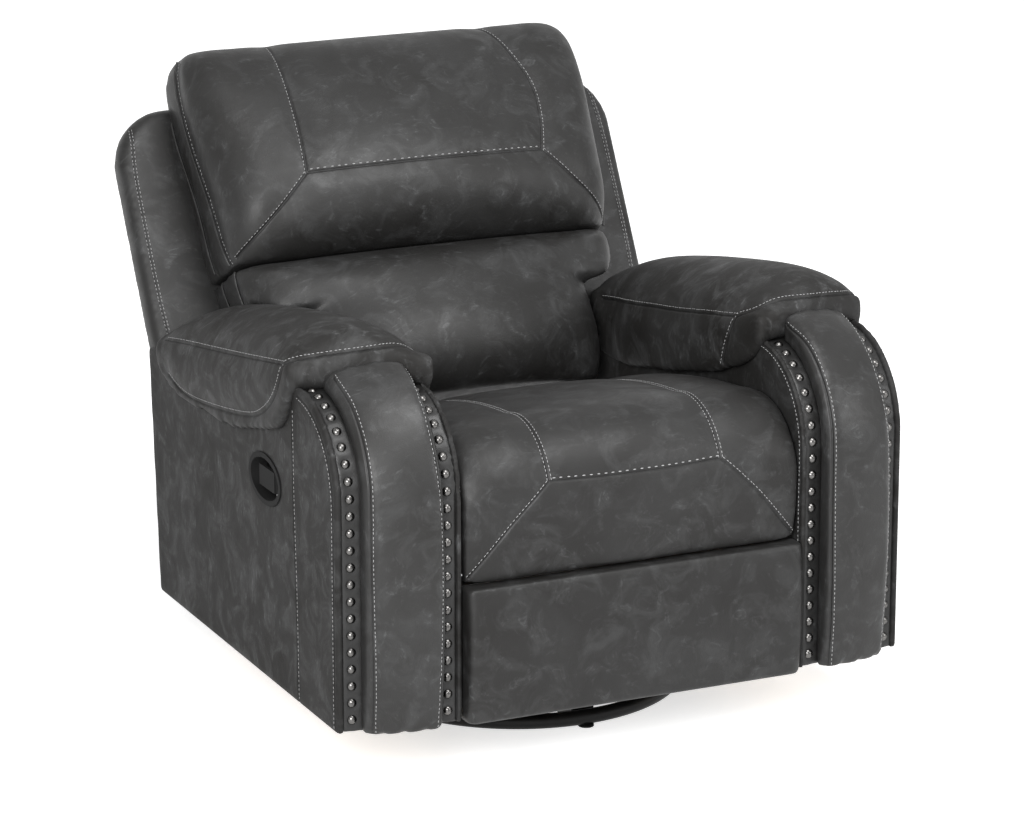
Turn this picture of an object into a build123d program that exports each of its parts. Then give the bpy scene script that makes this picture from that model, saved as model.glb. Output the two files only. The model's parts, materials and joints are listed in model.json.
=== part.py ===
"""Swivel-glider recliner with a padded headrest, pillow arms, nail-trimmed arm fronts and a folding legrest.

Millimetres, +Z up, floor at Z = 0. The sitter faces -Y, and +X is the sitter's left.
Side profiles are drawn as (depth behind the arm fronts, height above the floor).
"""

import os
from math import acos, atan2, cos, hypot, pi, radians, sin, tan

from build123d import *

os.makedirs("parts", exist_ok=True)

# Arms
arm_half = 496.0          # chair centre to an arm's outer face
arm_width = 198.0
arm_toe = 9.0             # arm fronts turn outward by this angle
skirt_z = 105.0           # underside of the arms
arm_curve = 150.0         # radius of the arm front's rolled top
arm_curve_z = 472.0       # height where that roll starts
arm_depth = 815.0         # arm length along the floor
arm_rake = 31.0           # how far the arm's rear edge leans back at its top
arm_rear_z = 525.0        # height of the arm's rear top corner
side_cover = 10.0         # padded outer cover
inner_cover = 8.0         # padded inner cover
board = 12.0              # plywood sides of the arm box
wrap = 10.0               # bent board round the arm's front and top
base_board = 18.0
strip = 5.0               # nail strip thickness
cover_roll = 6.0          # how far the outer cover's rolled edge stands before the nail strip
inner_roll = 3.0          # the same on the inner cover

# Raised front panels and nails
panel_inset = 37.0        # side of the arm box to the raised panel's side
panel_bulge = 40.0        # panel's face before the nail strips
panel_hem = 26.0          # the same at its bottom edge
panel_top = 132.0         # depth where the panel's inner edge meets the arm pad
panel_crest = 46.0        # panel's face above the rolled nail strip there
panel_droop = 0.5         # how fast that end sinks toward the outer edge, along the pad
panel_round = 12.0
nail_d = 15.0
nail_h = 4.5
nail_pitch = 27.5
nail_margin = 24.0        # skirt to the lowest nail

# Arm pads
pad_front = 130.0
pad_length = 618.0
pad_toe = 16.0            # pad's front turns outward, more than the arm's
pad_flap = 11.0           # how far the outer flap stands off the arm side
pad_inner_flap = 5.0
pad_crown = 60.0          # pillow above its side seams
pad_edge = 664.0          # side seam height at the front
pad_fall = 0.165          # drop of the arm top for each millimetre of depth
pad_drape = 112.0         # how far the outer flap hangs below the side seam
pad_inner_drape = 108.0

# Floor ring and swivel
swivel_depth = 440.0      # swivel axis behind the arm fronts
ring_radius = 270.0
ring_tube = 25.0
foot_d = 26.0
foot_h = 3.0
foot_stem = 8.0
foot_stem_h = 9.0
foot_count = 6
foot_turn = 30.0          # first foot, degrees round from +X
bar_w = 40.0
bar_h = 22.0
bearing_side = 150.0
bearing_plate = 5.0
bearing_gap = 4.0
ball_d = 8.0
ball_count = 12
race_radius = 55.0
bolt_d = 16.0
bolt_flange = 30.0
nut_h = 9.0

# Glide linkage
hanger_x = 195.0          # inner face of the glide hangers
plate = 6.0               # hanger, rail and seat rail plate
link_plate = 5.0
side_gap = 1.5            # between neighbouring plates
glide_pin = 12.0
glide_link = 95.0         # swing link, pivot to pivot
glide_spread = 260.0      # front pivots to rear pivots
glide_top_z = 175.0       # hanging pivots
link_round = 16.0
turntable_bar_w = 30.0
turntable_bar_h = 12.0
turntable_bar_gap = 110.0
cross_bar_w = 30.0
cross_bar_h = 12.0
cross_bar_z = 200.0
cross_bar_front = 250.0
cross_bar_rear = 630.0

# Seat frame and its tracks
rail_play = 10.0          # seat rails to the track plates
rail_z = 350.0            # centre height of the seat rails and tracks
rail_h = 30.0
rail_front = 30.0
track_stand = 10.0        # inner face of the track plates before the arms
track_plate = 4.0
track_front = 70.0
track_h = 56.0
track_boss = 24.0
slide_pin = 12.0
slide_travel = 50.0
slide_front = 170.0       # slide pins' depths at rest
slide_rear_inset = 90.0   # rear slide pins before the back's reference point
seat_board = 20.0
seat_front = 24.0         # front board's face
seat_rear_inset = 105.0   # rear board's face before that point
seat_board_z = 330.0
seat_front_top = 418.0
seat_rear_top = 398.0
spring_wire = 4.0
spring_count = 5
spring_margin = 72.0      # outer springs inside the seat rails
spring_leg = 28.0         # half the zigzag's width
spring_pitch = 40.0
spring_bend = 12.0
spring_drop = 10.0        # springs below the boards' tops

# Seat cushion
seat_gap = 6.0            # cushion side to arm
lip_z = 328.0             # lowest edge of the waterfall front
lip_front = -6.0
seat_face = -15.0         # fullest line of the front
seat_face_z = 470.0
crown_depth = 150.0       # highest line of the seat
crown_z = 560.0
seat_end_inset = 92.0     # cushion's rear edge before the back's reference point
seat_end_top = 436.0
side_drop = 22.0          # drawn-in sides of the seat
side_draw = 14.0
seat_roll = 32.0          # fullness of the rolled front edge

# Back
lean = 29.0               # back from upright
back_inset = 125.0        # reference point of the back's plane before the arms' rear
back_z = 400.0
pivot_behind = 30.0       # recline pivot behind that point
pivot_z = 350.0
pivot_pin = 14.0
pivot_round = 20.0
frame_front = 115.0       # back frame's front face behind the reference plane
frame_rear = 162.0
frame_low = 40.0
frame_top = 620.0
post_play = 8.0           # posts' outer face to the seat rails
post_w = 40.0
rail_w = 40.0
outside_panel = 8.0
panel_waist = 190.0       # height up the back where it widens behind the arms
panel_low_play = 14.0     # the outside back between the arms
panel_inside_wing = 4.0
panel_high = 610.0
panel_corner = 95.0
wing_play = 12.0          # wings' inner edge to the arms' inner face
wing_inset = 30.0         # wings' outer edge inside the arms' outer face
wing_high = 618.0
wing_corner = 98.0
wing_round = 16.0
bracket_high = 150.0
bracket_low = 20.0
bracket_edge = 4.0        # bracket keeps this far inside the frame's depth

# Back cushions
cushion_gap = 0.3
piping = 0.0              # piped edge, measured forward from the reference plane
lumbar_low = 10.0
lumbar_play = 18.0        # lumbar cushion's sides to the arms
lumbar_crown = 158.0
lumbar_wide = 213.0       # height up the back where it clears the arms
lumbar_fill = 60.0        # height of the lumbar's lower roll
lumbar_neck = 50.0        # its last full line below that height
lumbar_round = 8.0        # rounding of the lumbar's wide part
lumbar_flare = 42.0       # height of its fullest line above the arms
head_low = 290.0
head_half = 358.0
head_crown = 122.0
head_high = 690.0
head_top_half = 332.0
head_draw = 6.0           # drawn-in lower and upper corners of the head cushion
corner_sink = 12.0        # piping at the rounded top behind the reference plane
head_shoulder = 35.0      # height of the head cushion's rounded top
head_top_edge = 45.0      # top boxing's front edge behind the reference plane
head_top_crown = 25.0
head_top_rear = 20.0
corner_w = 75.0           # width of the cushions' rounded edges

# Legrest
leg_depth = 130.0         # fixed pivot of the lower links
leg_z = 290.0
foot_pivot_depth = 45.0
foot_pivot_z = 195.0
lower_link = 215.0
upper_link = 210.0
leg_play = 5.0            # lower links to the seat rails
leg_step = 2.0            # gap between lower and upper links
foot_play = 4.0           # footrest brackets to the upper links
leg_pin = 12.0
leg_round = 14.0
torque_d = 22.0
footrest_low = 108.0
footrest_high = 325.0
footrest_back = 5.0
footrest_hem = -18.0
footrest_crown = -27.0
footrest_edge = 10.0
footboard = 12.0
footboard_margin = 14.0   # cover wrapped round the board's edges
foot_bracket_h = 60.0

# Lower rear panel
rear_panel = 14.0
rear_panel_inset = 43.0   # panel's front face before the arms' rear
rear_panel_high = 262.0
rear_panel_lift = 7.0     # panel above the skirt

# Release cup and lever, sitter's right arm
cup_depth = 316.0
cup_z = 444.0
cup_long = 122.0
cup_tall = 72.0
cup_rim = 6.0
cup_rim_t = 3.0
cup_wall = 2.5
cup_in = 32.0
lever_pin = 5.0
lever_pin_fore = 32.0     # lever pin before the cup's middle
lever_pin_in = 8.0        # lever pin behind the arm's outer face
lever_barrel = 10.0
lever_length = 64.0
lever_tall = 34.0
lever_t = 5.0
lever_lip = 9.0

# Fits
pin_play = 0.05           # radial play of a turning pin
open_play = 0.3           # radial play at the linkage's open pivots
slot_play = 0.3
seat_play = 0.3           # between a cover or cushion and what it lies on
press = 0.0               # pressed or welded parts share a face
panel_play = 0.6          # between the raised panel's curved underside and the nail strips' board

# Places that follow the arms
arm_inner = arm_half - arm_width
track_x = arm_inner - track_stand
seat_rail_x = track_x - rail_play - plate
leg_link_x = seat_rail_x - leg_play - link_plate
leg_bracket_x = leg_link_x - leg_step - foot_play - 2 * link_plate
post_x = seat_rail_x - post_play - post_w
spring_spacing = 2 * (seat_rail_x - spring_margin) / (spring_count - 1)
seat_half = arm_inner - seat_gap
footrest_half = seat_half
lumbar_half = arm_inner - lumbar_play
panel_low_half = arm_inner - panel_low_play
wing_inner = arm_inner - wing_play
wing_half = arm_half - wing_inset
panel_half = wing_half - panel_inside_wing
back_depth = arm_depth - back_inset
pivot_depth = back_depth + pivot_behind
track_rear = back_depth
slide_rear = back_depth - slide_rear_inset
seat_rear = back_depth - seat_rear_inset
seat_end = back_depth - seat_end_inset
rear_panel_depth = arm_depth - rear_panel_inset
lever_pin_depth = cup_depth - lever_pin_fore

# Reference planes
up_y, up_z = sin(radians(lean)), cos(radians(lean))
rear_reach = back_depth + up_y * panel_high + up_z * (frame_rear + outside_panel)
front_y = -(rear_reach - panel_bulge + tan(radians(arm_toe)) * panel_inset) / 2
swivel_y = front_y + swivel_depth
arm_front_play = cover_roll + seat_play


def side_plane(x):
    """Side view at X = x, drawn as (depth, height)."""
    return Plane(origin=(x, front_y, 0), x_dir=(0, 1, 0), z_dir=(1, 0, 0))


def floor_plane(z):
    """Plan view centred on the swivel axis."""
    return Plane(origin=(0, swivel_y, z))


def back_point(x, rise, ahead):
    """A point of the back, from its height up the back and its distance before the reference plane."""
    y = front_y + back_depth + up_y * rise - up_z * ahead
    return (x, y, back_z + up_z * rise + up_y * ahead)


def back_face(ahead):
    """Front view of the back, drawn as (X, height up the back)."""
    return Plane(origin=back_point(0, 0, ahead), x_dir=(1, 0, 0), z_dir=(0, -up_z, up_y))


def back_side(x):
    """Side view of the back, drawn as (distance behind the reference plane, height up the back)."""
    return Plane(origin=back_point(x, 0, 0), x_dir=(0, up_z, -up_y), z_dir=(1, 0, 0))


def back_level(rise):
    """Section across the back, drawn as (X, distance before the reference plane)."""
    return Plane(origin=back_point(0, rise, 0), x_dir=(1, 0, 0), z_dir=(0, -up_y, -up_z))


def slab(side, near, far):
    """Side plane and thickness of a slab from |X| = near to |X| = far on one side of the chair."""
    return side_plane(min(side * near, side * far)), abs(far - near)


def write(piece, label):
    piece.part.label = label
    export_step(piece.part, f"parts/{label}.step")


SIDES = {"left": 1, "right": -1}


def studs(spots, near, far, diameter):
    """Round studs along X at each (depth, height), on both sides of the chair."""
    with BuildPart() as pair:
        for side in SIDES.values():
            plane, length = slab(side, near, far)
            with BuildSketch(plane):
                with Locations(*spots):
                    Circle(diameter / 2)
            extrude(amount=length)
    return pair

# Base: ring, feet and cross bars
ring_z = foot_h + ring_tube / 2

with BuildPart() as base_ring:
    with BuildSketch(Plane(origin=(0, swivel_y, 0), x_dir=(1, 1, 0), z_dir=(1, -1, 0))):
        with Locations((ring_radius, ring_z)):
            Circle(ring_tube / 2)
    revolve(axis=Axis((0, swivel_y, 0), (0, 0, 1)))
    with BuildSketch(floor_plane(foot_h)):
        with PolarLocations(ring_radius, foot_count, start_angle=foot_turn):
            Circle(foot_stem / 2 + pin_play)
    extrude(amount=foot_stem_h, mode=Mode.SUBTRACT)
write(base_ring, "base_ring")

with BuildPart() as base_feet:
    with BuildSketch(floor_plane(0)):
        with PolarLocations(ring_radius, foot_count, start_angle=foot_turn):
            Circle(foot_d / 2)
    extrude(amount=foot_h)
    with BuildSketch(floor_plane(foot_h)):
        with PolarLocations(ring_radius, foot_count, start_angle=foot_turn):
            Circle(foot_stem / 2)
    extrude(amount=foot_stem_h)
write(base_feet, "base_feet")

bar_z = ring_z - bar_h / 2
bar_top = bar_z + bar_h
bar_end = ((ring_radius - ring_tube / 2) ** 2 - bar_w**2 / 4) ** 0.5

with BuildPart() as base_long_bar:
    with BuildSketch(floor_plane(bar_z)):
        Rectangle(2 * bar_end, bar_w)
        Circle(bolt_d / 2, mode=Mode.SUBTRACT)
    extrude(amount=bar_h)
write(base_long_bar, "base_long_bar")

short_bar = bar_end - bar_w / 2

with BuildPart() as base_short_bars:
    with BuildSketch(floor_plane(bar_z)):
        with GridLocations(0, bar_w + short_bar, 1, 2):
            Rectangle(bar_w, short_bar)
    extrude(amount=bar_h)
write(base_short_bars, "base_short_bars")

# Swivel bearing
race_z = bar_top + bearing_plate + bearing_gap / 2
upper_z = bar_top + bearing_plate + bearing_gap
race_r = ball_d / 2 + 2 * pin_play


def bearing(z, bore):
    with BuildPart() as bearing_half:
        with BuildSketch(floor_plane(z)):
            RectangleRounded(bearing_side, bearing_side, bearing_plate)
            Circle(bore / 2, mode=Mode.SUBTRACT)
        extrude(amount=bearing_plate)
        with BuildSketch(Plane(origin=(0, swivel_y, 0), x_dir=(1, 0, 0), z_dir=(0, -1, 0))):
            with Locations((race_radius, race_z)):
                Circle(race_r)
        revolve(axis=Axis((0, swivel_y, 0), (0, 0, 1)), mode=Mode.SUBTRACT)
    return bearing_half


bearing_lower_plate = bearing(bar_top, bolt_d)
write(bearing_lower_plate, "bearing_lower_plate")

bearing_upper_plate = bearing(upper_z, bolt_d + 2 * pin_play)
write(bearing_upper_plate, "bearing_upper_plate")

with BuildPart() as bearing_balls:
    with Locations(floor_plane(race_z)):
        with PolarLocations(race_radius, ball_count):
            Sphere(ball_d / 2)
write(bearing_balls, "bearing_balls")

turntable_z = upper_z + bearing_plate
nut_z = turntable_z + seat_play

with BuildPart() as swivel_bolt:
    with BuildSketch(floor_plane(bar_z)):
        Circle(bolt_d / 2)
    extrude(amount=nut_z + nut_h - bar_z)
    with BuildSketch(floor_plane(nut_z)):
        RegularPolygon(bolt_flange / 2, 6)
    extrude(amount=nut_h)
write(swivel_bolt, "swivel_bolt")

# Turntable: bars and glide hangers
glide_low_z = glide_top_z - glide_link
glide_front = swivel_depth - glide_spread / 2
glide_rear = swivel_depth + glide_spread / 2
hanger_out = hanger_x + plate
link_in = hanger_out + side_gap
link_out = link_in + link_plate
glide_rail_x = link_out + side_gap

with BuildPart() as turntable_bars:
    with BuildSketch(floor_plane(turntable_z)):
        with GridLocations(0, turntable_bar_gap, 1, 2):
            Rectangle(2 * hanger_x, turntable_bar_w)
    extrude(amount=turntable_bar_h)
write(turntable_bars, "turntable_bars")

hanger_foot = turntable_bar_gap + turntable_bar_w

with BuildPart() as glide_hangers:
    for side in SIDES.values():
        plane, thick = slab(side, hanger_x, hanger_out)
        with BuildSketch(plane):
            with Locations((glide_front, glide_top_z), (glide_rear, glide_top_z)):
                Circle(link_round)
            with Locations((swivel_depth, turntable_z)):
                Rectangle(hanger_foot, glide_pin, align=(Align.CENTER, Align.MIN))
            make_hull()
        extrude(amount=thick)
    hanging_pivots = [(glide_front, glide_top_z), (glide_rear, glide_top_z)]
    add(studs(hanging_pivots, hanger_x, link_out + side_gap / 2, glide_pin).part)
write(glide_hangers, "glide_hangers")


def swing_links(depth, low_play):
    """A left and a right swing link hanging at one depth."""
    with BuildPart() as links:
        for side in SIDES.values():
            plane, thick = slab(side, link_in, link_out)
            with BuildSketch(plane):
                with Locations((depth, glide_top_z), (depth, glide_low_z)):
                    Circle(link_round)
                make_hull()
                with Locations((depth, glide_top_z)):
                    Circle(glide_pin / 2 + pin_play, mode=Mode.SUBTRACT)
                with Locations((depth, glide_low_z)):
                    Circle(glide_pin / 2 + low_play, mode=Mode.SUBTRACT)
            extrude(amount=thick)
    return links


front_glide_links = swing_links(glide_front, open_play)
write(front_glide_links, "front_glide_links")

rear_glide_links = swing_links(glide_rear, pin_play)
write(rear_glide_links, "rear_glide_links")

# Chassis: glide rails hung under two cross bars
glide_rail_out = glide_rail_x + plate

with BuildPart() as glide_rails:
    for side in SIDES.values():
        plane, thick = slab(side, glide_rail_x, glide_rail_out)
        with BuildSketch(plane):
            with Locations((glide_front, glide_low_z), (glide_rear, glide_low_z)):
                Circle(link_round)
            with Locations((cross_bar_front, cross_bar_z), (cross_bar_rear, cross_bar_z)):
                Rectangle(cross_bar_w, glide_pin, align=(Align.CENTER, Align.MAX))
            make_hull()
        extrude(amount=thick)
    carried_pivots = [(glide_front, glide_low_z), (glide_rear, glide_low_z)]
    add(studs(carried_pivots, hanger_out + side_gap / 2, glide_rail_out, glide_pin).part)
write(glide_rails, "glide_rails")

with BuildPart() as cross_bars:
    with BuildSketch(Plane(origin=(0, front_y, cross_bar_z))):
        with Locations((0, cross_bar_front), (0, cross_bar_rear)):
            Rectangle(2 * arm_inner, cross_bar_w)
    extrude(amount=cross_bar_h)
write(cross_bars, "cross_bars")

# Arms: boards, covers, nail strips, raised panels and pads
arm_top_z = arm_curve_z + arm_curve
arm_rear_top = arm_depth + arm_rake
panel_near = arm_inner + panel_inset
panel_far = arm_half - panel_inset


def set_back(x):
    """How far the turned-out arm front lies behind its inner edge."""
    return tan(radians(arm_toe)) * (abs(x) - arm_inner)


def arm_outline(x, inset):
    """Side outline of an arm at one X, a distance inside the nail strips' face."""
    low = skirt_z + (strip if inset >= 0 else 0)
    back = set_back(x)
    radius = arm_curve - inset
    middle = radius * sin(pi / 4)
    with BuildSketch() as outline:
        with BuildLine():
            front = Line((back + inset, low), (back + inset, arm_curve_z))
            roll = ThreePointArc(
                front @ 1,
                (back + arm_curve - middle, arm_curve_z + middle),
                (back + arm_curve, arm_curve_z + radius),
            )
            rear_top = (arm_rear_top - inset, arm_rear_z - inset)
            Polyline(roll @ 1, rear_top, (arm_depth - inset, low), front @ 0)
        make_face()
    return outline.sketch


def arm_slab(side, near, far, inset):
    """A piece of the arm's side outline, with its front turned outward."""
    with BuildPart() as piece:
        for x in (near, far):
            with BuildSketch(side_plane(side * x)):
                add(arm_outline(x, inset))
        loft(ruled=True)
    return piece


def arm_lining(side):
    """Thin cover between an arm's two side covers, up its front, along its top and down its rear."""
    with BuildPart() as lining:
        add(arm_slab(side, inner_board_in, side_in, 0).part)
        add(arm_slab(side, inner_board_in, side_in, strip).part, mode=Mode.SUBTRACT)
    return lining


def panel_outline(x, sunk):
    """Side outline of the raised front panel at one X, its face sunk below the fullest one."""
    back = set_back(x)
    radius = arm_curve + panel_play
    under = back - panel_play
    end_depth = panel_top + tan(radians(pad_toe)) * (abs(x) - panel_near)
    end_z = arm_top_z + panel_crest - sunk - panel_droop * (end_depth - panel_top)
    under_turn = acos((back + arm_curve - end_depth) / radius)
    with BuildSketch(side_plane(x)) as outline:
        with BuildLine():
            hem = Line((under, skirt_z + strip), (back + sunk - panel_hem, skirt_z + strip))
            face = ThreePointArc(
                hem @ 1,
                (back + sunk - panel_bulge, (skirt_z + arm_curve_z) / 2),
                (back + sunk - panel_bulge + strip, arm_curve_z),
            )
            crest = TangentArc(face @ 1, (end_depth, end_z), tangent=face % 1)
            end = Line(crest @ 1, (end_depth, arm_curve_z + radius * sin(under_turn)))
            ThreePointArc(
                end @ 1,
                (back + arm_curve - radius * cos(under_turn / 2), arm_curve_z + radius * sin(under_turn / 2)),
                (under, arm_curve_z),
            )
            Line((under, arm_curve_z), hem @ 0)
        make_face()
    return outline.sketch


cup_cut = cup_long / 2 + seat_play, cup_tall / 2 + seat_play
strip_end = arm_curve + nail_d + set_back(arm_half)
side_in = arm_half - side_cover
outer_board_in = side_in - board
inner_board_in = arm_inner + inner_cover
inner_board_out = inner_board_in + board

for name, side in SIDES.items():
    with BuildPart() as arm_outer_board:
        add(arm_slab(side, outer_board_in, side_in, strip).part)
        if name == "right":
            with BuildSketch(side_plane(-side_in)):
                with Locations((cup_depth, cup_z)):
                    Ellipse(*cup_cut)
            extrude(amount=board, mode=Mode.SUBTRACT)
    write(arm_outer_board, f"arm_outer_board_{name}")

    arm_inner_board = arm_slab(side, inner_board_in, inner_board_out, strip)
    write(arm_inner_board, f"arm_inner_board_{name}")

    with BuildPart() as arm_side_cover:
        plane, thick = slab(side, side_in, arm_half)
        with BuildSketch(plane):
            add(arm_outline(arm_half, -cover_roll))
        extrude(amount=thick)
        outer_face = arm_side_cover.faces().sort_by(Axis.X)[-1 if side > 0 else 0]
        fillet(outer_face.edges(), radius=cover_roll)
        if name == "right":
            with BuildSketch(side_plane(-arm_half)):
                with Locations((cup_depth, cup_z)):
                    Ellipse(*cup_cut)
            extrude(amount=side_cover, mode=Mode.SUBTRACT)
    write(arm_side_cover, f"arm_side_cover_{name}")

    with BuildPart() as arm_inner_cover:
        plane, thick = slab(side, arm_inner, inner_board_in)
        with BuildSketch(plane):
            add(arm_outline(arm_inner, -inner_roll))
        extrude(amount=thick)
        seat_face_of_arm = arm_inner_cover.faces().sort_by(Axis.X)[0 if side > 0 else -1]
        fillet(seat_face_of_arm.edges(), radius=inner_roll)
    write(arm_inner_cover, f"arm_inner_cover_{name}")

    # Bent board between the two sides, up the front, back along the top and down the rear
    with BuildPart() as arm_wrap_board:
        add(arm_slab(side, inner_board_out, outer_board_in, strip).part)
        add(arm_slab(side, inner_board_out, outer_board_in, strip + wrap).part, mode=Mode.SUBTRACT)
    write(arm_wrap_board, f"arm_wrap_board_{name}")

    plane, thick = slab(side, inner_board_out, outer_board_in)
    with BuildPart() as arm_base_board:
        add(arm_slab(side, inner_board_out, outer_board_in, strip + wrap).part)
        with BuildSketch(plane):
            with Locations((0, skirt_z + strip)):
                Rectangle(arm_rear_top, base_board, align=(Align.MIN, Align.MIN))
        extrude(amount=thick, mode=Mode.INTERSECT)
    write(arm_base_board, f"arm_base_board_{name}")

    # Lining that the nails are driven into, up the front and round the roll
    plane, thick = slab(side, arm_inner, arm_half)
    with BuildPart() as nail_strips:
        add(arm_lining(side).part)
        with BuildSketch(plane):
            with Locations((strip_end, skirt_z)):
                Rectangle(arm_rear_top, arm_top_z, align=(Align.MIN, Align.MIN))
        extrude(amount=thick, mode=Mode.SUBTRACT)
    write(nail_strips, f"nail_strips_{name}")

    # Domed nails along both strips, up the straight front and round the roll
    with BuildPart() as dome:
        with BuildSketch(Plane.XZ):
            with BuildLine():
                crown = RadiusArc((0, nail_h), (nail_d / 2, 0), (nail_d**2 / 4 + nail_h**2) / (2 * nail_h))
                Polyline(crown @ 1, (0, 0), crown @ 0)
            make_face()
        revolve(axis=Axis.Z)

    straight = arm_curve_z - skirt_z - nail_margin
    nail_count = int((straight + arm_curve * pi / 2) / nail_pitch) + 1
    nail_seats = []
    for row in ((inner_board_in + panel_near) / 2, (panel_far + side_in) / 2):
        for i in range(nail_count):
            run = i * nail_pitch
            turn = max(run - straight, 0) / arm_curve
            rise = min(run, straight) + skirt_z + nail_margin + arm_curve * sin(turn)
            depth = set_back(row) + arm_curve * (1 - cos(turn))
            face_out = (side * tan(radians(arm_toe)) * cos(turn), -cos(turn), sin(turn))
            nail_seats.append(Plane(origin=(side * row, front_y + depth, rise), z_dir=face_out))
    with BuildPart() as nailheads:
        with Locations(*nail_seats):
            add(dome.part)
    write(nailheads, f"nailheads_{name}")

    # Raised padded panel up the arm front
    with BuildPart() as arm_front_panel:
        add(panel_outline(side * (panel_near + seat_play), panel_round))
        add(panel_outline(side * (panel_near + panel_round), 0))
        add(panel_outline(side * (panel_far - panel_round), 0))
        add(panel_outline(side * (panel_far - seat_play), panel_round))
        loft(ruled=True)
    write(arm_front_panel, f"arm_front_panel_{name}")

    # Pillow pad that drapes over both sides of the arm
    pad_in = arm_inner - pad_inner_flap
    pad_out = arm_half + pad_flap
    pad_rear = pad_front + pad_length
    stations = (
        (0.0, 1.0, 0.2, 0.2, 0.22),
        (0.06, 0.9, 0.82, 0.62, 0.68),
        (0.18, 0.68, 0.95, 0.83, 0.92),
        (0.37, 0.4, 1.0, 0.93, 1.0),
        (0.6, 0.16, 0.94, 1.0, 0.99),
        (0.78, 0.03, 0.82, 1.04, 0.9),
        (0.93, 0.0, 0.6, 0.94, 0.62),
        (1.0, 0.0, 0.2, 0.3, 0.22),
    )
    with BuildPart() as arm_pad:
        for share, turned, drape, inner_drape, fullness in stations:
            depth = pad_front + pad_length * share
            toe = pad_toe * turned
            edge = pad_edge - pad_fall * (depth - pad_front)
            crest = edge + pad_crown * fullness
            across = (side * cos(radians(toe)), sin(radians(toe)), 0)
            wide = (pad_out - pad_in) / cos(radians(toe))
            along = (side * sin(radians(toe)), -cos(radians(toe)), 0)
            start = (side * pad_in, front_y + depth, 0)
            with BuildSketch(Plane(origin=start, x_dir=across, z_dir=[side * a for a in along])):
                with BuildLine():
                    crown = ThreePointArc((0, edge), (wide / 2, crest), (wide, edge))
                    Polyline(
                        crown @ 1,
                        (wide, edge - pad_drape * drape),
                        (0, edge - pad_inner_drape * inner_drape),
                        crown @ 0,
                    )
                make_face()
        loft()
        arm_space = arm_slab(side, arm_inner - seat_play, arm_half + seat_play, -arm_front_play)
        add(arm_space.part, mode=Mode.SUBTRACT)
    write(arm_pad, f"arm_pad_{name}")

# Covers of the arms' tops and rears, from the nail strips' ends
with BuildPart() as arm_rear_covers:
    for side in SIDES.values():
        with BuildPart() as rear_cover:
            add(arm_lining(side).part)
            plane, thick = slab(side, arm_inner, arm_half)
            with BuildSketch(plane):
                with Locations((strip_end + seat_play, skirt_z)):
                    Rectangle(arm_rear_top, arm_top_z, align=(Align.MAX, Align.MIN))
            extrude(amount=thick, mode=Mode.SUBTRACT)
        add(rear_cover.part)
write(arm_rear_covers, "arm_rear_covers")

# Lower rear panel between the arms
with BuildPart() as lower_rear_panel:
    panel_height = rear_panel_high - skirt_z - rear_panel_lift
    with BuildSketch(Plane(origin=(0, front_y + rear_panel_depth, skirt_z + rear_panel_lift))):
        Rectangle(2 * arm_inner, rear_panel, align=(Align.CENTER, Align.MIN))
    extrude(amount=panel_height)
write(lower_rear_panel, "lower_rear_panel")

# Release cup in the sitter's right arm, with the lever's pin across it
pin_plane = Plane(origin=(-arm_half + lever_pin_in, front_y + lever_pin_depth, cup_z))
pin_offset = lever_pin_fore / (cup_long / 2 - cup_wall)
pin_half = (cup_tall / 2 - cup_wall) * (1 - pin_offset**2) ** 0.5 + cup_wall / 2

with BuildPart() as handle_cup:
    with BuildSketch(side_plane(-arm_half)):
        with Locations((cup_depth, cup_z)):
            Ellipse(cup_long / 2 + cup_rim, cup_tall / 2 + cup_rim)
    extrude(amount=-cup_rim_t)
    with BuildSketch(side_plane(-arm_half)):
        with Locations((cup_depth, cup_z)):
            Ellipse(cup_long / 2, cup_tall / 2)
    extrude(amount=cup_in)
    with BuildSketch(side_plane(-arm_half - cup_rim_t)):
        with Locations((cup_depth, cup_z)):
            Ellipse(cup_long / 2 - cup_wall, cup_tall / 2 - cup_wall)
    extrude(amount=cup_in + cup_rim_t - cup_wall, mode=Mode.SUBTRACT)
    with BuildSketch(pin_plane):
        Circle(lever_pin / 2 + press)
    extrude(amount=pin_half, both=True, mode=Mode.SUBTRACT)
write(handle_cup, "handle_cup")

with BuildPart() as lever_pivot_pin:
    with BuildSketch(pin_plane):
        Circle(lever_pin / 2)
    extrude(amount=pin_half, both=True)
write(lever_pivot_pin, "lever_pivot_pin")

with BuildPart() as release_lever:
    with BuildSketch(pin_plane):
        with Locations((-lever_pin_in / 2, 0)):
            Rectangle(lever_t, lever_length, align=(Align.CENTER, Align.MIN))
        with Locations((-lever_pin_in / 2, lever_length)):
            Rectangle(lever_lip, lever_t, align=(Align.MIN, Align.MAX))
        Circle(lever_barrel / 2)
        Circle(lever_pin / 2 + pin_play, mode=Mode.SUBTRACT)
    extrude(amount=lever_tall / 2, both=True)
write(release_lever, "release_lever")

# Seat tracks on the arms, and the sliding seat frame
with BuildPart() as seat_tracks:
    for side in SIDES.values():
        plane, thick = slab(side, track_x, track_x + track_plate)
        with BuildSketch(plane):
            with Locations((track_front, rail_z)):
                Rectangle(track_rear - track_front, track_h, align=(Align.MIN, Align.CENTER))
            with Locations((slide_front - slide_travel / 2, rail_z), (slide_rear - slide_travel / 2, rail_z)):
                SlotCenterToCenter(slide_travel, slide_pin + 2 * slot_play, mode=Mode.SUBTRACT)
        extrude(amount=thick)
        plane, thick = slab(side, track_x + track_plate, arm_inner)
        boss_mid = (slide_front + slide_rear - slide_travel) / 2
        with BuildSketch(plane):
            with Locations(
                (track_front + track_boss / 2, rail_z), (boss_mid, rail_z), (track_rear - track_boss, rail_z)
            ):
                Circle(track_boss / 2)
        extrude(amount=thick)
write(seat_tracks, "seat_tracks")

seat_rail_out = seat_rail_x + plate
bracket_in = post_x + post_w
bracket_out = seat_rail_x - leg_step - side_gap / 2

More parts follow.
